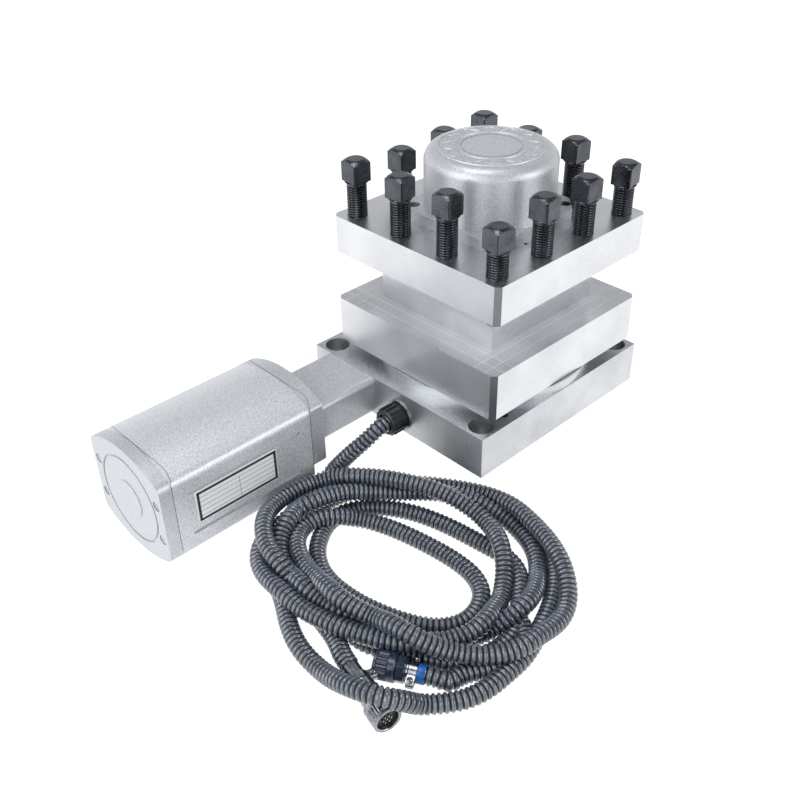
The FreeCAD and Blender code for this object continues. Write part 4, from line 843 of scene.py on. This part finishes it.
@dataclass
class CoverRelief:
    """The cover with a plain cast border on its top: two rings and a scalloped line between them.

    The top is let down a little, so that the border rises to the CAD cover's height.
    """

    drop: float = 0.0007
    shoulder: float = 0.0105
    rings: tuple[float, float] = (0.0275, 0.0408)
    scallop: float = 0.0308
    swing: float = 0.0072
    arcs: int = 12
    half_width: float = 0.0006
    steps: int = 192
    # Half widths and heights of a ridge's cross-section
    section: tuple[tuple[float, float], ...] = ((-1.0, 0.0), (-0.55, 1.0), (0.55, 1.0), (1.0, 0.0))

    def ridge(self, reach: Callable[[float], float]) -> Shell:
        """Build one closed ridge.

        Args:
            reach: The ridge's radius at an angle.

        Returns:
            Its points and faces.
        """
        # The ridge stands a little below the lowered top, so that no gap shows under it
        foot = COVER_TOP_Z - self.drop * 1.15
        points = []
        for step in range(self.steps):
            angle = 2 * math.pi * step / self.steps
            for across, up in self.section:
                radius = reach(angle) + across * self.half_width
                points.append(Vector((HEAD_X + radius * math.cos(angle),
                                      HEAD_Y + radius * math.sin(angle),
                                      foot + (COVER_TOP_Z - foot) * up)))
        faces = []
        for step in range(self.steps):
            here, after = step * 4, (step + 1) % self.steps * 4
            faces += [(here + edge, here + (edge + 1) % 4, after + (edge + 1) % 4, after + edge)
                      for edge in range(4)]
        return points, faces

    def build(self) -> None:
        """Build the cover with its lowered top, and the ridges on it."""
        node = frame["nodes"]["top_cover"]
        mesh = node.data.copy()
        mesh.transform(node.matrix_world)
        start = COVER_TOP_Z - self.shoulder
        for vertex in mesh.vertices:
            share = max(0.0, (vertex.co.z - start) / self.shoulder)
            vertex.co.z -= self.drop * share * share
        cover = bpy.data.objects.new("top_cover_look", mesh)
        bpy.context.scene.collection.objects.link(cover)
        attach(finish_piece(cover, Finish.BLASTED), "head")
        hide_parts("top_cover")
        whole: Shell = ([], [])
        for line in (lambda angle: self.rings[0], lambda angle: self.rings[1],
                     lambda angle: self.scallop + self.swing * abs(math.sin(angle * self.arcs / 2))):
            add_shell(whole, self.ridge(line))
        relief = sharpen(mesh_piece("cover_relief", *whole, Finish.BLASTED), 35.0)
        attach(relief, "head")
        LOG.info("cover with its border")


@dataclass
class CasingSeams:
    """Dark joint lines where the motor's casing meets its flange and its rear cover."""

    places: tuple[float, float] = (-0.1645, -0.291)
    width: float = 0.0004
    gauge: float = 0.00005
    rounding: float = 0.008
    rounding_steps: int = 12
    # A line ends this many roundings short of the casing's lower and far edges
    short: float = 2.2

    def build(self) -> None:
        """Lay each line over the near side and the top, along the rounded edge between them."""
        low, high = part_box("motor_casing")
        reach = self.rounding + self.gauge
        outline = [(low.y - self.gauge, low.z + self.short * self.rounding)]
        for step in range(self.rounding_steps + 1):
            angle = math.pi / 2 * step / self.rounding_steps
            outline.append((low.y + self.rounding - reach * math.cos(angle),
                            high.z - self.rounding + reach * math.sin(angle)))
        outline.append((high.y - self.short * self.rounding, high.z + self.gauge))
        count = len(outline)
        faces = [(step, count + step, count + step + 1, step + 1) for step in range(count - 1)]
        whole: Shell = ([], [])
        for place in self.places:
            add_shell(whole, ([Vector((place + side * self.width, across, up))
                               for side in (-0.5, 0.5) for across, up in outline], faces))
        piece = mesh_piece("casing_seams", *whole, Finish.INKED)
        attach(piece, "base")
        LOG.info("seams on the casing")


@dataclass
class PlateFrame:
    """The nameplate's printed table, its cells left blank."""

    gauge: float = 0.00006
    border: float = 0.0022
    rule: float = 0.00028
    rows: int = 5
    margin: float = 0.0008
    title_share: float = 0.2
    column_share: float = 0.52

    def build(self) -> None:
        """Lay the border, the rows and one upright rule on the plate's outer face."""
        low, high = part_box("nameplate")
        left, right = low.x + self.margin, high.x - self.margin
        bottom, top = low.z + self.margin, high.z - self.margin
        bars = [(left, right, bottom, bottom + self.border), (left, right, top - self.border, top),
                (left, left + self.border, bottom, top), (right - self.border, right, bottom, top)]
        title = top - (top - bottom) * self.title_share
        bars.append((left, right, title - self.rule, title))
        step = (title - bottom) / self.rows
        for row in range(1, self.rows):
            level = bottom + row * step
            bars.append((left, right, level, level + self.rule))
        middle = left + (right - left) * self.column_share
        bars.append((middle, middle + self.rule, bottom, title))
        whole: Shell = ([], [])
        for start_x, end_x, start_z, end_z in bars:
            outline = ((start_x, start_z), (end_x, start_z), (end_x, end_z), (start_x, end_z))
            add_shell(whole, ([Vector((across, depth, up))
                               for depth in (low.y - SKIN_GAP, low.y - self.gauge)
                               for across, up in outline], list(BOX_FACES)))
        piece = mesh_piece("nameplate_frame", *whole, Finish.INKED, smooth=False)
        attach(piece, "base")
        LOG.info("blank table on the nameplate")


@dataclass
class Conduit:
    """A corrugated conduit that lies in loose turns, and the short branch to the rear plug."""

    radius: float = 0.007
    groove: float = 0.0019
    rib_pitch: float = 0.004
    steps_per_rib: int = 7
    rib_fullness: float = 0.9
    # Share of each rib, around its groove, that takes the painted groove shade
    groove_shade_share: float = 0.15
    sides: int = 16
    path_stride: int = 4
    # Points from the gland to the coil
    lead_mm: tuple[Point, ...] = (
        (-99.5, -6.5, 14), (-116.5, -6.5, 14), (-129.2, -3.8, 5.5), (-139.5, 2.8, -4.7),
        (-145.6, 11, -17.1), (-149.9, 19.5, -30), (-165, 14.5, -32.4), (-180.3, 11, -34.5),
        (-196.3, 11, -35))
    # Each turn runs from the left side round by the front, the right side and the back
    turns_mm: tuple[tuple[Point, ...], ...] = (
        ((-207.2, 0.9, -35), (-217.3, -11.2, -34.8), (-228.6, -22.4, -35), (-236.5, -36.3, -35),
         (-239.8, -52, -35), (-241.5, -67.8, -35), (-242.9, -83.7, -35), (-244.9, -99.7, -35),
         (-249.5, -115, -35), (-249, -130.9, -35), (-242.1, -145.2, -35), (-234.3, -159.2, -35),
         (-226.6, -173.3, -35), (-217.7, -186.3, -35), (-203.7, -194, -35), (-188.1, -197.5, -35),
         (-172.1, -197.6, -35), (-158.8, -189.5, -35), (-145.9, -179.9, -35), (-133.1, -170.2, -35),
         (-122.5, -158.3, -35), (-118.1, -143, -35), (-119.7, -127.1, -35), (-121.6, -111.2, -35),
         (-123.5, -95.2, -35), (-126.6, -79.4, -35), (-131, -64, -35), (-137.8, -49.5, -35),
         (-147.1, -36.4, -35), (-158.7, -25.4, -35), (-173.5, -19.7, -35), (-189.2, -21.4, -35)),
        ((-203.3, -29.2, -35), (-215.3, -39.7, -35), (-223.8, -53.3, -35), (-228.1, -68.7, -35),
         (-228.5, -84.7, -35), (-226.9, -100.7, -35), (-223.3, -116.3, -35), (-218.1, -131.5, -35),
         (-211.2, -146, -35), (-201.1, -158.3, -35), (-186.9, -165.5, -35), (-171.1, -163.8, -35),
         (-157.7, -155.3, -35), (-150.1, -141.4, -35), (-148, -125.5, -35), (-148.6, -109.5, -35),
         (-150.5, -93.5, -35), (-153.2, -77.7, -35), (-156.8, -62, -35), (-161.9, -46.8, -35),
         (-170.9, -34.2, -32.9), (-184, -28.6, -25.6), (-198, -22, -23)),
        ((-213.2, -19.9, -25.2), (-225.8, -29.4, -23.9), (-234, -43, -23.1), (-239.1, -58.3, -22.3),
         (-241.9, -73.7, -19.7), (-245.7, -87.6, -13), (-248.2, -103.1, -11.1),
         (-244.9, -118.4, -13.5), (-238.9, -132.2, -17), (-238.5, -146.9, -11),
         (-237.2, -162.6, -10.4), (-229.7, -175.5, -16), (-219.9, -186.8, -21.6),
         (-209.2, -198.5, -23.7), (-196.6, -208.1, -24.1), (-182.7, -214.6, -22.6),
         (-166.7, -214.6, -24), (-151.1, -214.6, -27.7), (-135.7, -211.4, -30.1),
         (-121.7, -203.9, -29.1), (-110.8, -193, -24.9), (-101.9, -179.9, -22.5),
         (-94.5, -165.7, -22.3), (-88.5, -150.8, -23.2), (-84.1, -135.4, -23.5),
         (-81.3, -119.6, -23.3), (-82.2, -103.6, -23.9), (-86.7, -88.2, -24.3), (-93.8, -73.8, -24.7),
         (-102.6, -60.4, -24.6), (-112.5, -47.8, -24.1), (-123.3, -35.9, -23.7),
         (-135.2, -25.1, -23.6), (-148.1, -15.7, -24.2), (-162.9, -9.6, -24.5), (-177.9, -4.4, -22.6),
         (-193.8, -1.9, -22.8)),
        ((-207.4, -6.4, -19.4), (-219.9, -14.8, -14.6), (-233.7, -20.4, -19.3), (-243.1, -31.4, -24.3),
         (-248, -46.4, -26.6), (-251.6, -60.4, -21.2), (-254, -74.6, -18.4), (-251.1, -89.3, -23.7),
         (-249.2, -105.2, -23.7), (-240.2, -116.3, -28.7), (-233.9, -128, -35), (-227.7, -142.7, -35),
         (-219.9, -156.8, -35), (-208.9, -168.4, -35), (-195.4, -177, -35), (-180.7, -183.4, -35),
         (-169.6, -188.2, -27.4), (-155.9, -191.1, -23), (-140.9, -186.8, -26.3),
         (-127.1, -179.9, -30.7), (-114.7, -170.6, -34.8), (-103.1, -159.6, -35), (-94.5, -146, -35),
         (-89.7, -130.8, -35), (-91.2, -115.9, -30.7), (-95.7, -102, -24.3), (-100.9, -87, -22.1),
         (-108.8, -73.1, -21.7), (-118.5, -60.3, -22.4), (-129.2, -48.3, -23), (-140.7, -37.1, -22.7),
         (-153.3, -27.4, -20.5), (-166.8, -19.6, -16.9), (-181.9, -14.6, -15.3),
         (-197.7, -11.6, -14.8)),
        ((-210.1, -5.8, -21.8), (-221.6, -0.5, -31), (-233.2, -8.3, -35), (-243.1, -20.9, -35),
         (-251.8, -34.4, -35), (-258.5, -49, -35), (-265.4, -63.5, -35), (-273.4, -77.4, -35),
         (-280.1, -92, -35), (-284.1, -107.5, -35), (-285.1, -123.5, -35), (-286.7, -138.5, -30.4),
         (-287.6, -152.9, -23.5), (-286, -168, -18.4), (-280.9, -182.9, -16.1),
         (-269.7, -190.1, -22.8), (-258.7, -193.2, -33.8), (-246.1, -202.8, -35),
         (-232.4, -211.1, -35), (-216.9, -214.6, -35), (-200.8, -214.6, -35), (-184.8, -214.5, -35),
         (-169.2, -210.9, -35), (-154.1, -205.5, -35), (-139, -200, -35), (-124.7, -192.7, -35),
         (-111.1, -184.2, -35), (-98.7, -174.1, -35), (-88.5, -161.8, -35), (-80.9, -147.6, -35),
         (-76.7, -132.2, -35), (-75.4, -116.2, -35), (-76.4, -100.2, -35), (-80.6, -84.7, -35),
         (-87.5, -70.2, -35), (-96.5, -56.9, -35), (-107, -44.8, -35), (-118.4, -33.5, -35),
         (-130.1, -22.5, -35), (-142.4, -12.2, -35), (-156.3, -4.4, -35), (-172, -1.2, -35),
         (-188, -1.2, -35), (-203.8, -0.1, -34.9)),
        ((-216.7, 0.1, -31.5), (-227.7, -7.9, -23.8), (-243.4, -10.5, -24.8), (-255.3, -20.7, -27),
         (-262, -35.1, -26.1), (-265.1, -50.6, -23.7), (-265.7, -66.6, -22.4), (-265.1, -82.5, -24.4),
         (-263.4, -98.4, -23.2), (-259.6, -113.8, -22.2), (-253.6, -128.6, -22.8),
         (-246.6, -143, -22.2), (-237.8, -156.4, -22.6), (-225.2, -166.1, -23.8),
         (-212.9, -176, -25.2), (-198.2, -182.1, -23.4), (-182.6, -181.2, -22.9),
         (-168.8, -175.5, -28.4), (-154.7, -170, -33.2), (-141.5, -161, -32.5),
         (-130.1, -151.3, -26.8), (-120.5, -139.3, -22.6), (-112.3, -125.7, -24.4),
         (-108.1, -110.5, -24.3), (-110.8, -95.8, -18.9), (-115.9, -81.4, -14), (-122.1, -66.8, -11.2),
         (-129.1, -52.4, -10.2), (-136.7, -38.3, -10.3), (-144.5, -24.3, -11.6),
         (-154.9, -12.2, -12.1), (-162.1, 1.1, -17.1), (-174.8, 9.6, -19.9), (-190.6, 11, -18.3),
         (-206.7, 11, -17.9)),
        ((-221.7, 6.1, -16.4), (-234.3, -3.1, -12.7), (-244.5, -15.3, -12.8), (-251, -29.8, -14.3),
         (-253.5, -45.6, -14.9), (-252.7, -58.7, -22.5), (-253.1, -71.4, -31.2), (-255.6, -86.6, -35),
         (-257.9, -102.4, -35), (-262.1, -117.9, -34.2), (-268.5, -130, -32.5), (-271, -141.3, -32)))
    # From the point where it leaves the conduit to the rear plug
    branch_mm: tuple[Point, ...] = (
        (-158.8, -189.5, -35), (-163.9, -202.4, -35), (-177.5, -209.3, -35), (-191.1, -208.6, -35),
        (-203, -204.6, -35), (-213.3, -199.3, -35), (-222.7, -194.4, -35), (-232.7, -193.7, -34.5),
        (-236.6, -186.7, -32), (-240, -180.6, -32))

    def phase(self, row: float) -> float:
        """Return how far through its rib a place on the tube is, from 0 to 1."""
        return (row / self.steps_per_rib) % 1.0

    def skin(self, name: str,
             points_mm: Sequence[Point]) -> tuple[bpy.types.Object, list[Vector], float]:
        """Build a corrugated tube on a route.

        Args:
            name: The piece's name.
            points_mm: The route's points in millimetres.

        Returns:
            The piece, the points that it follows, and its length in metres.
        """
        line = even_steps(spline_line(points_mm), self.rib_pitch / self.steps_per_rib)
        rings = []
        for index, (spot, (side, other)) in enumerate(zip(line, carried_frames(line))):
            # A rib is round on top, with a narrow groove before the next one
            rise = math.sin(math.pi * self.phase(index)) ** self.rib_fullness
            reach = self.radius - self.groove * (1 - rise)
            angles = [2 * math.pi * number / self.sides for number in range(self.sides)]
            rings.append([spot + side * (reach * math.cos(angle)) + other * (reach * math.sin(angle))
                          for angle in angles])
        points, faces = tube_rings(rings)
        length = sum((after - before).length for before, after in zip(line, line[1:]))
        piece = mesh_piece(name, points, faces, Finish.CONDUIT)
        # The groove faces take a second, near-black material: painted shade
        piece.data.materials.append(Finish.GROOVE.material())
        # Every face but the two ends lies between two rings, in a groove or on a rib
        for number, face in enumerate(piece.data.polygons[:len(faces) - 2]):
            place = self.phase(number // self.sides + 0.5)
            face.material_index = int(min(place, 1 - place) < self.groove_shade_share)
        return piece, line[::self.path_stride] + [line[-1]], length

    def build(self, front_pieces: list[bpy.types.Object], rear_pieces: list[bpy.types.Object]) -> None:
        """Lay the conduit and its branch.

        Args:
            front_pieces: Pieces of the plug on the conduit's end; not used.
            rear_pieces: Pieces of the plug on the branch's end; not used.
        """
        route = list(self.lead_mm)
        for turn in self.turns_mm:
            route += turn
        piece, path, length = self.skin("conduit", route)
        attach(piece, "base")
        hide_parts("conduit_lead", "conduit_coil")
        LOG.info("conduit %.3f m long", length)
        branch, branch_path, branch_length = self.skin("conduit_branch", self.branch_mm)
        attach(branch, "base")
        LOG.info("branch %.3f m long", branch_length)


@dataclass
class Plug:
    """A round connector: knurled coupling ring, body, clamp with two screwed ears, pins in its mouth."""

    name: str
    mouth: Point
    turn_deg: float
    body_length: float
    body_finish: Finish
    shell_slot: str
    tail_length: float
    hexagon: bool
    shell_radius: float = 0.010
    body_radius: float = 0.0082
    mouth_radius: float = 0.0077
    shell_length: float = 0.015
    knurl_low: float = 0.0025
    knurl_high: float = 0.0095
    knurl_depth: float = 0.00045
    knurls: int = 30
    hexagon_flat: float = 0.0084
    hexagon_corner: float = 0.0096
    insert_depth: float = 0.003
    pin_radius: float = 0.0006
    pin_circle: float = 0.0028
    outer_pins: int = 6
    clamp_length: float = 0.008
    saddle_radius: float = 0.0068
    ear_reach: float = 0.0118
    screw_place: float = 0.0096
    tail_radius: float = 0.006

    def axis(self) -> Matrix:
        """Find the plug's place.

        Returns:
            The matrix to it from the plug's own Z, which runs from its mouth to its tail.
        """
        turn = math.radians(self.turn_deg)
        back = Vector((math.cos(turn), math.sin(turn), 0))
        level = Vector((-math.sin(turn), math.cos(turn), 0))
        return Matrix.Translation(self.mouth) @ Matrix((level, back.cross(level), back)).transposed().to_4x4()

    def shell(self) -> bpy.types.Object:
        """Build the coupling ring and the body behind it.

        Returns:
            The piece.
        """
        radius, inner = self.shell_radius, self.mouth_radius
        body, length = self.body_radius, self.body_length

        def reach(base: float, height: float, angle: float) -> float:
            """Radius with the ring's knurl, or the hexagon behind it.

            Args:
                base: The profile's own radius.
                height: Height behind the mouth.
                angle: Angle round the plug.

            Returns:
                The radius there.
            """
            if self.knurl_low < height < self.knurl_high and base > self.body_radius:
                return base - self.knurl_depth * (0.5 + 0.5 * math.cos(self.knurls * angle))
            hex_low, hex_high = self.shell_length + 0.0006, self.shell_length + 0.0056
            if self.hexagon and hex_low < height < hex_high:
                fold = (angle % (math.pi / 3)) - math.pi / 6
                return min(self.hexagon_corner, self.hexagon_flat / math.cos(fold))
            return base

        # Mouth, plain rim, knurled ring, plain ring, then the body's first step
        profile = [(inner, self.insert_depth + 0.0005), (inner, 0.0004), (inner + 0.0004, 0.0),
                   (radius - 0.0005, 0.0), (radius, 0.0006), (radius, 0.002), (radius - 0.0006, 0.0023),
                   (radius, 0.0026), (radius, 0.005), (radius, 0.0075), (radius, 0.0094),
                   (radius - 0.0006, 0.0098), (radius, 0.0101), (radius, 0.0142),
                   (radius - 0.0006, self.shell_length), (body, self.shell_length + 0.0002),
                   (body, self.shell_length + 0.0007), (body, self.shell_length + 0.0055),
                   (body - 0.0003, self.shell_length + 0.0058)]
        if length > 0.024:
            # A long body has a second step behind a raised band
            profile += [(body - 0.0003, 0.0235), (body, 0.0238), (body, 0.0262), (body - 0.0008, 0.0266),
                        (body - 0.0008, length)]
        else:
            profile += [(body - 0.0003, length)]
        shell = tube_rings(lathe_rings(profile, 120, reach))
        piece = mesh_piece(f"{self.name}_shell_look", *shell, self.body_finish)
        return place_mesh(sharpen(piece), self.axis())

    def insert(self) -> bpy.types.Object:
        """Build the insert with its pins: one in the middle, the others on a circle.

        Returns:
            The piece.
        """
        depth = self.insert_depth
        whole = tube_rings(lathe_rings([(0.0076, 0.012), (0.0076, depth + 0.0002), (0.0072, depth)], 48))
        first_pin_face = len(whole[1])
        spots = [(0.0, 0.0)]
        for number in range(self.outer_pins):
            angle = number * math.pi / 3
            spots.append((self.pin_circle * math.cos(angle), self.pin_circle * math.sin(angle)))
        pin = [(self.pin_radius, depth + 0.001), (self.pin_radius, 0.0012), (self.pin_radius / 2, 0.0009)]
        for across, along in spots:
            points, faces = tube_rings(lathe_rings(pin, 10))
            add_shell(whole, ([point + Vector((across, along, 0)) for point in points], faces))
        piece = mesh_piece(f"{self.name}_insert_look", *whole, Finish.PHENOLIC)
        piece.data.materials.append(Finish.CONTACT.material())
        for face in piece.data.polygons[first_pin_face:]:
            face.material_index = 1
        return place_mesh(sharpen(piece), self.axis())

    def clamp(self) -> bpy.types.Object:
        """Build the cable clamp: the tail, two saddles with their ears, and two screws.

        Returns:
            The piece.
        """
        start, saddle, ear = self.body_length, self.saddle_radius, self.ear_reach
        end = start + self.clamp_length
        whole = tube_rings(lathe_rings(
            [(0.0070, start - 0.0002), (0.0072, start + 0.0005), (0.0072, start + 0.0012),
             (self.tail_radius, start + 0.0016), (self.tail_radius, end + self.tail_length)], 40))
        # Saddles above and below the cable, each with an ear to either side
        for side in (-1, 1):
            outline = []
            for number in range(13):
                angle = math.pi * number / 12
                outline.append((saddle * math.cos(angle), side * (0.0004 + saddle * math.sin(angle))))
            # The arc's ends give way to the ears
            outline = [(ear, side * 0.0006), (ear, side * 0.0026), (0.0072, side * 0.0034)] + outline[2:11]
            outline += [(-0.0072, side * 0.0034), (-ear, side * 0.0026), (-ear, side * 0.0006)]
            add_shell(whole, tube_rings([[Vector((across, up, level)) for across, up in outline[::side]]
                                         for level in (start + 0.0018, end - 0.0008)]))
        # One cheese-head screw through each pair of ears
        screw = [(0.0011, -0.0036), (0.0011, 0.0026), (0.0021, 0.0027), (0.0021, 0.0042), (0.0017, 0.0046)]
        middle = (start + end) / 2 + 0.0005
        for side in (-1, 1):
            points, faces = tube_rings(lathe_rings(screw, 16))
            # Laid over from Z to Y, which turns the faces inside out, so they are turned back
            add_shell(whole, ([Vector((side * self.screw_place + point.x, point.z, middle + point.y))
                               for point in points], [tuple(reversed(face)) for face in faces]))
        piece = mesh_piece(f"{self.name}_clamp_look", *whole, Finish.NICKEL)
        return place_mesh(sharpen(piece), self.axis())

    def band(self) -> bpy.types.Object:
        """Build the shrunk sleeve behind the clamp.

        Returns:
            The piece.
        """
        start = self.body_length + self.clamp_length - 0.0006
        end = start + self.tail_length + 0.0004
        profile = [(0.0058, start), (0.0067, start + 0.0002), (0.0068, start + 0.001), (0.0067, end - 0.0008),
                   (0.0064, end), (0.0058, end)]
        piece = mesh_piece(f"{self.name}_sleeve", *tube_rings(lathe_rings(profile, 40)), Finish.SLEEVE)
        return place_mesh(sharpen(piece), self.axis())

    def build(self) -> list[bpy.types.Object]:
        """Build the plug in place of its CAD nodes.

        Returns:
            Its pieces.
        """
        made = []
        for part, piece, slot in (("shell", self.shell(), self.shell_slot),
                                  ("insert", self.insert(), "plug_black"),
                                  ("clamp", self.clamp(), "plug_silver")):
            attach(piece, "base")
            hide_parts(f"{self.name}_{part}")
            made.append(piece)
        if self.hexagon:
            sleeve = self.band()
            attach(sleeve, "base")
            made.append(sleeve)
        LOG.info("%s", self.name)
        return made


# ---------------------------------------------------------------- studio


@dataclass
class Studio:
    """White floor, white surround, soft lamps and the camera at the photograph's place."""

    lens_mm: float = 44.757
    azimuth: float = -43.264
    elevation: float = 35.162
    roll: float = -1.071
    shift_across_mm: float = -64.86
    shift_up_mm: float = -98.968
    distance_mm: float = 813.459
    aim_height_mm: float = 100.0
    fill_strength: float = 0.42
    floor_half: float = 4.0
    glow_strength: float = 1.4
    glow_share: float = 0.74

    def camera(self) -> None:
        """Stand the camera at the photograph's viewing angle."""
        turn, rise, tilt = (math.radians(each) for each in (self.azimuth, self.elevation, self.roll))
        back = Vector((math.sin(turn) * math.cos(rise), -math.cos(turn) * math.cos(rise), math.sin(rise)))
        right = Vector((math.cos(turn), math.sin(turn), 0))
        up = back.cross(right)
        place = back * self.distance_mm + right * self.shift_across_mm + up * self.shift_up_mm
        place = (place + Vector((0, 0, self.aim_height_mm))) * MM
        tilted_right = right * math.cos(tilt) + up * math.sin(tilt)
        tilted_up = up * math.cos(tilt) - right * math.sin(tilt)
        data = bpy.data.cameras.new("camera")
        data.lens = self.lens_mm
        data.sensor_width = 36.0
        data.clip_start, data.clip_end = 0.05, 20.0
        camera = bpy.data.objects.new("camera", data)
        bpy.context.scene.collection.objects.link(camera)
        axes = Matrix((tilted_right, tilted_up, back)).transposed().to_4x4()
        camera.matrix_world = Matrix.Translation(place) @ axes
        bpy.context.scene.camera = camera

    def world(self) -> None:
        """Light the object from a plain surround that camera, gloss and glass see as white."""
        world = bpy.data.worlds.new("studio")
        bpy.context.scene.world = world
        world.use_nodes = True
        tree = world.node_tree
        tree.nodes.clear()
        # The surround is white to well above eye level, and dims overhead as a studio ceiling does
        place = add_node(tree, "TexCoord").outputs["Generated"]
        height = add_node(tree, "SeparateXYZ", {"Vector": place}).outputs["Z"]
        rise = add_node(tree, "MapRange", {"Value": height, "From Min": 0.2, "From Max": 0.62})
        surround = ramp(tree, rise.outputs["Result"], [(0.0, "#ffffff"), (1.0, "#9da0a5")])
        bright = add_node(tree, "Background", {"Color": surround, "Strength": 1.0})
        plain = add_node(tree, "Background", {"Color": srgb("#ffffff"), "Strength": self.fill_strength})
        mixed = add_node(tree, "MixShader", {0: background_share(tree), 1: plain.outputs["Background"],
                                             2: bright.outputs["Background"]})
        add_node(tree, "OutputWorld", {"Surface": mixed.outputs["Shader"]})

    def floor(self) -> None:
        """Lay the white floor, which keeps the object's shadow."""
        half = self.floor_half
        points = [(across, along, FLOOR_Z)
                  for across, along in ((-half, -half), (half, -half), (half, half), (-half, half))]
        mesh = bpy.data.meshes.new("floor")
        mesh.from_pydata(points, [], [(0, 1, 2, 3)])
        floor = bpy.data.objects.new("floor", mesh)
        bpy.context.scene.collection.objects.link(floor)
        material = bpy.data.materials.new("white_floor")
        material.use_nodes = True
        tree = material.node_tree
        tree.nodes.clear()
        matt = add_node(tree, "BsdfDiffuse", {"Color": srgb("#f4f4f4")})
        glow = add_node(tree, "Emission", {"Color": srgb("#ffffff"), "Strength": self.glow_strength})
        # The rest of the share stays matt, and keeps the shadow
        part = add_node(tree, "Math", {0: background_share(tree), 1: self.glow_share}, operation="MULTIPLY")
        mixed = add_node(tree, "MixShader", {0: part.outputs["Value"], 1: matt.outputs["BSDF"],
                                             2: glow.outputs["Emission"]})
        add_node(tree, "OutputMaterial", {"Surface": mixed.outputs["Shader"]})
        mesh.materials.append(material)

    def lamp(self, name: str, place: Point, target: Point, size: float, power: float) -> None:
        """Hang a square soft lamp.

        Args:
            name: The lamp's name.
            place: Where it hangs, in metres.
            target: What it points at.
            size: Its side in metres.
            power: Its power in watts.
        """
        data = bpy.data.lights.new(name, "AREA")
        data.size = size
        data.energy = power
        lamp = bpy.data.objects.new(name, data)
        bpy.context.scene.collection.objects.link(lamp)
        lamp.matrix_world = aim(place, Vector(place) - Vector(target))

    def build(self) -> None:
        """Set up camera, surround, floor and lamps."""
        bpy.context.scene.view_settings.view_transform = "Standard"
        self.camera()
        self.world()
        self.floor()
        self.lamp("left_softbox", (-1.5, 0.1, 0.75), (-0.05, -0.05, 0.08), 1.4, 15.0)
        self.lamp("near_softbox", (0.5, -1.6, 0.7), (0.0, -0.05, 0.08), 0.9, 9.0)
        self.lamp("top_softbox", (-0.3, 0.2, 1.7), (-0.05, -0.05, 0.08), 0.8, 9.0)
        LOG.info("studio")


def main() -> None:
    """Build the studio, the finishes and every piece."""
    logging.basicConfig(level=logging.INFO, format="%(message)s")
    Studio().build()
    dress_nodes()
    front = Plug("front_plug", mouth=(-0.282, -0.189, -0.032), turn_deg=77.0, body_length=0.032,
                 body_finish=Finish.NICKEL, shell_slot="plug_silver", tail_length=0.009,
                 hexagon=False)
    rear = Plug("rear_plug", mouth=(-0.257, -0.150, -0.032), turn_deg=-61.0, body_length=0.022,
                body_finish=Finish.NAVY, shell_slot="plug_navy", tail_length=0.005,
                hexagon=True)
    Conduit().build(front.build(), rear.build())
    ClampScrews().build()
    HeadMarks().build()
    CoverRelief().build()
    CasingSeams().build()
    PlateFrame().build()


if __name__ == "__main__":
    main()
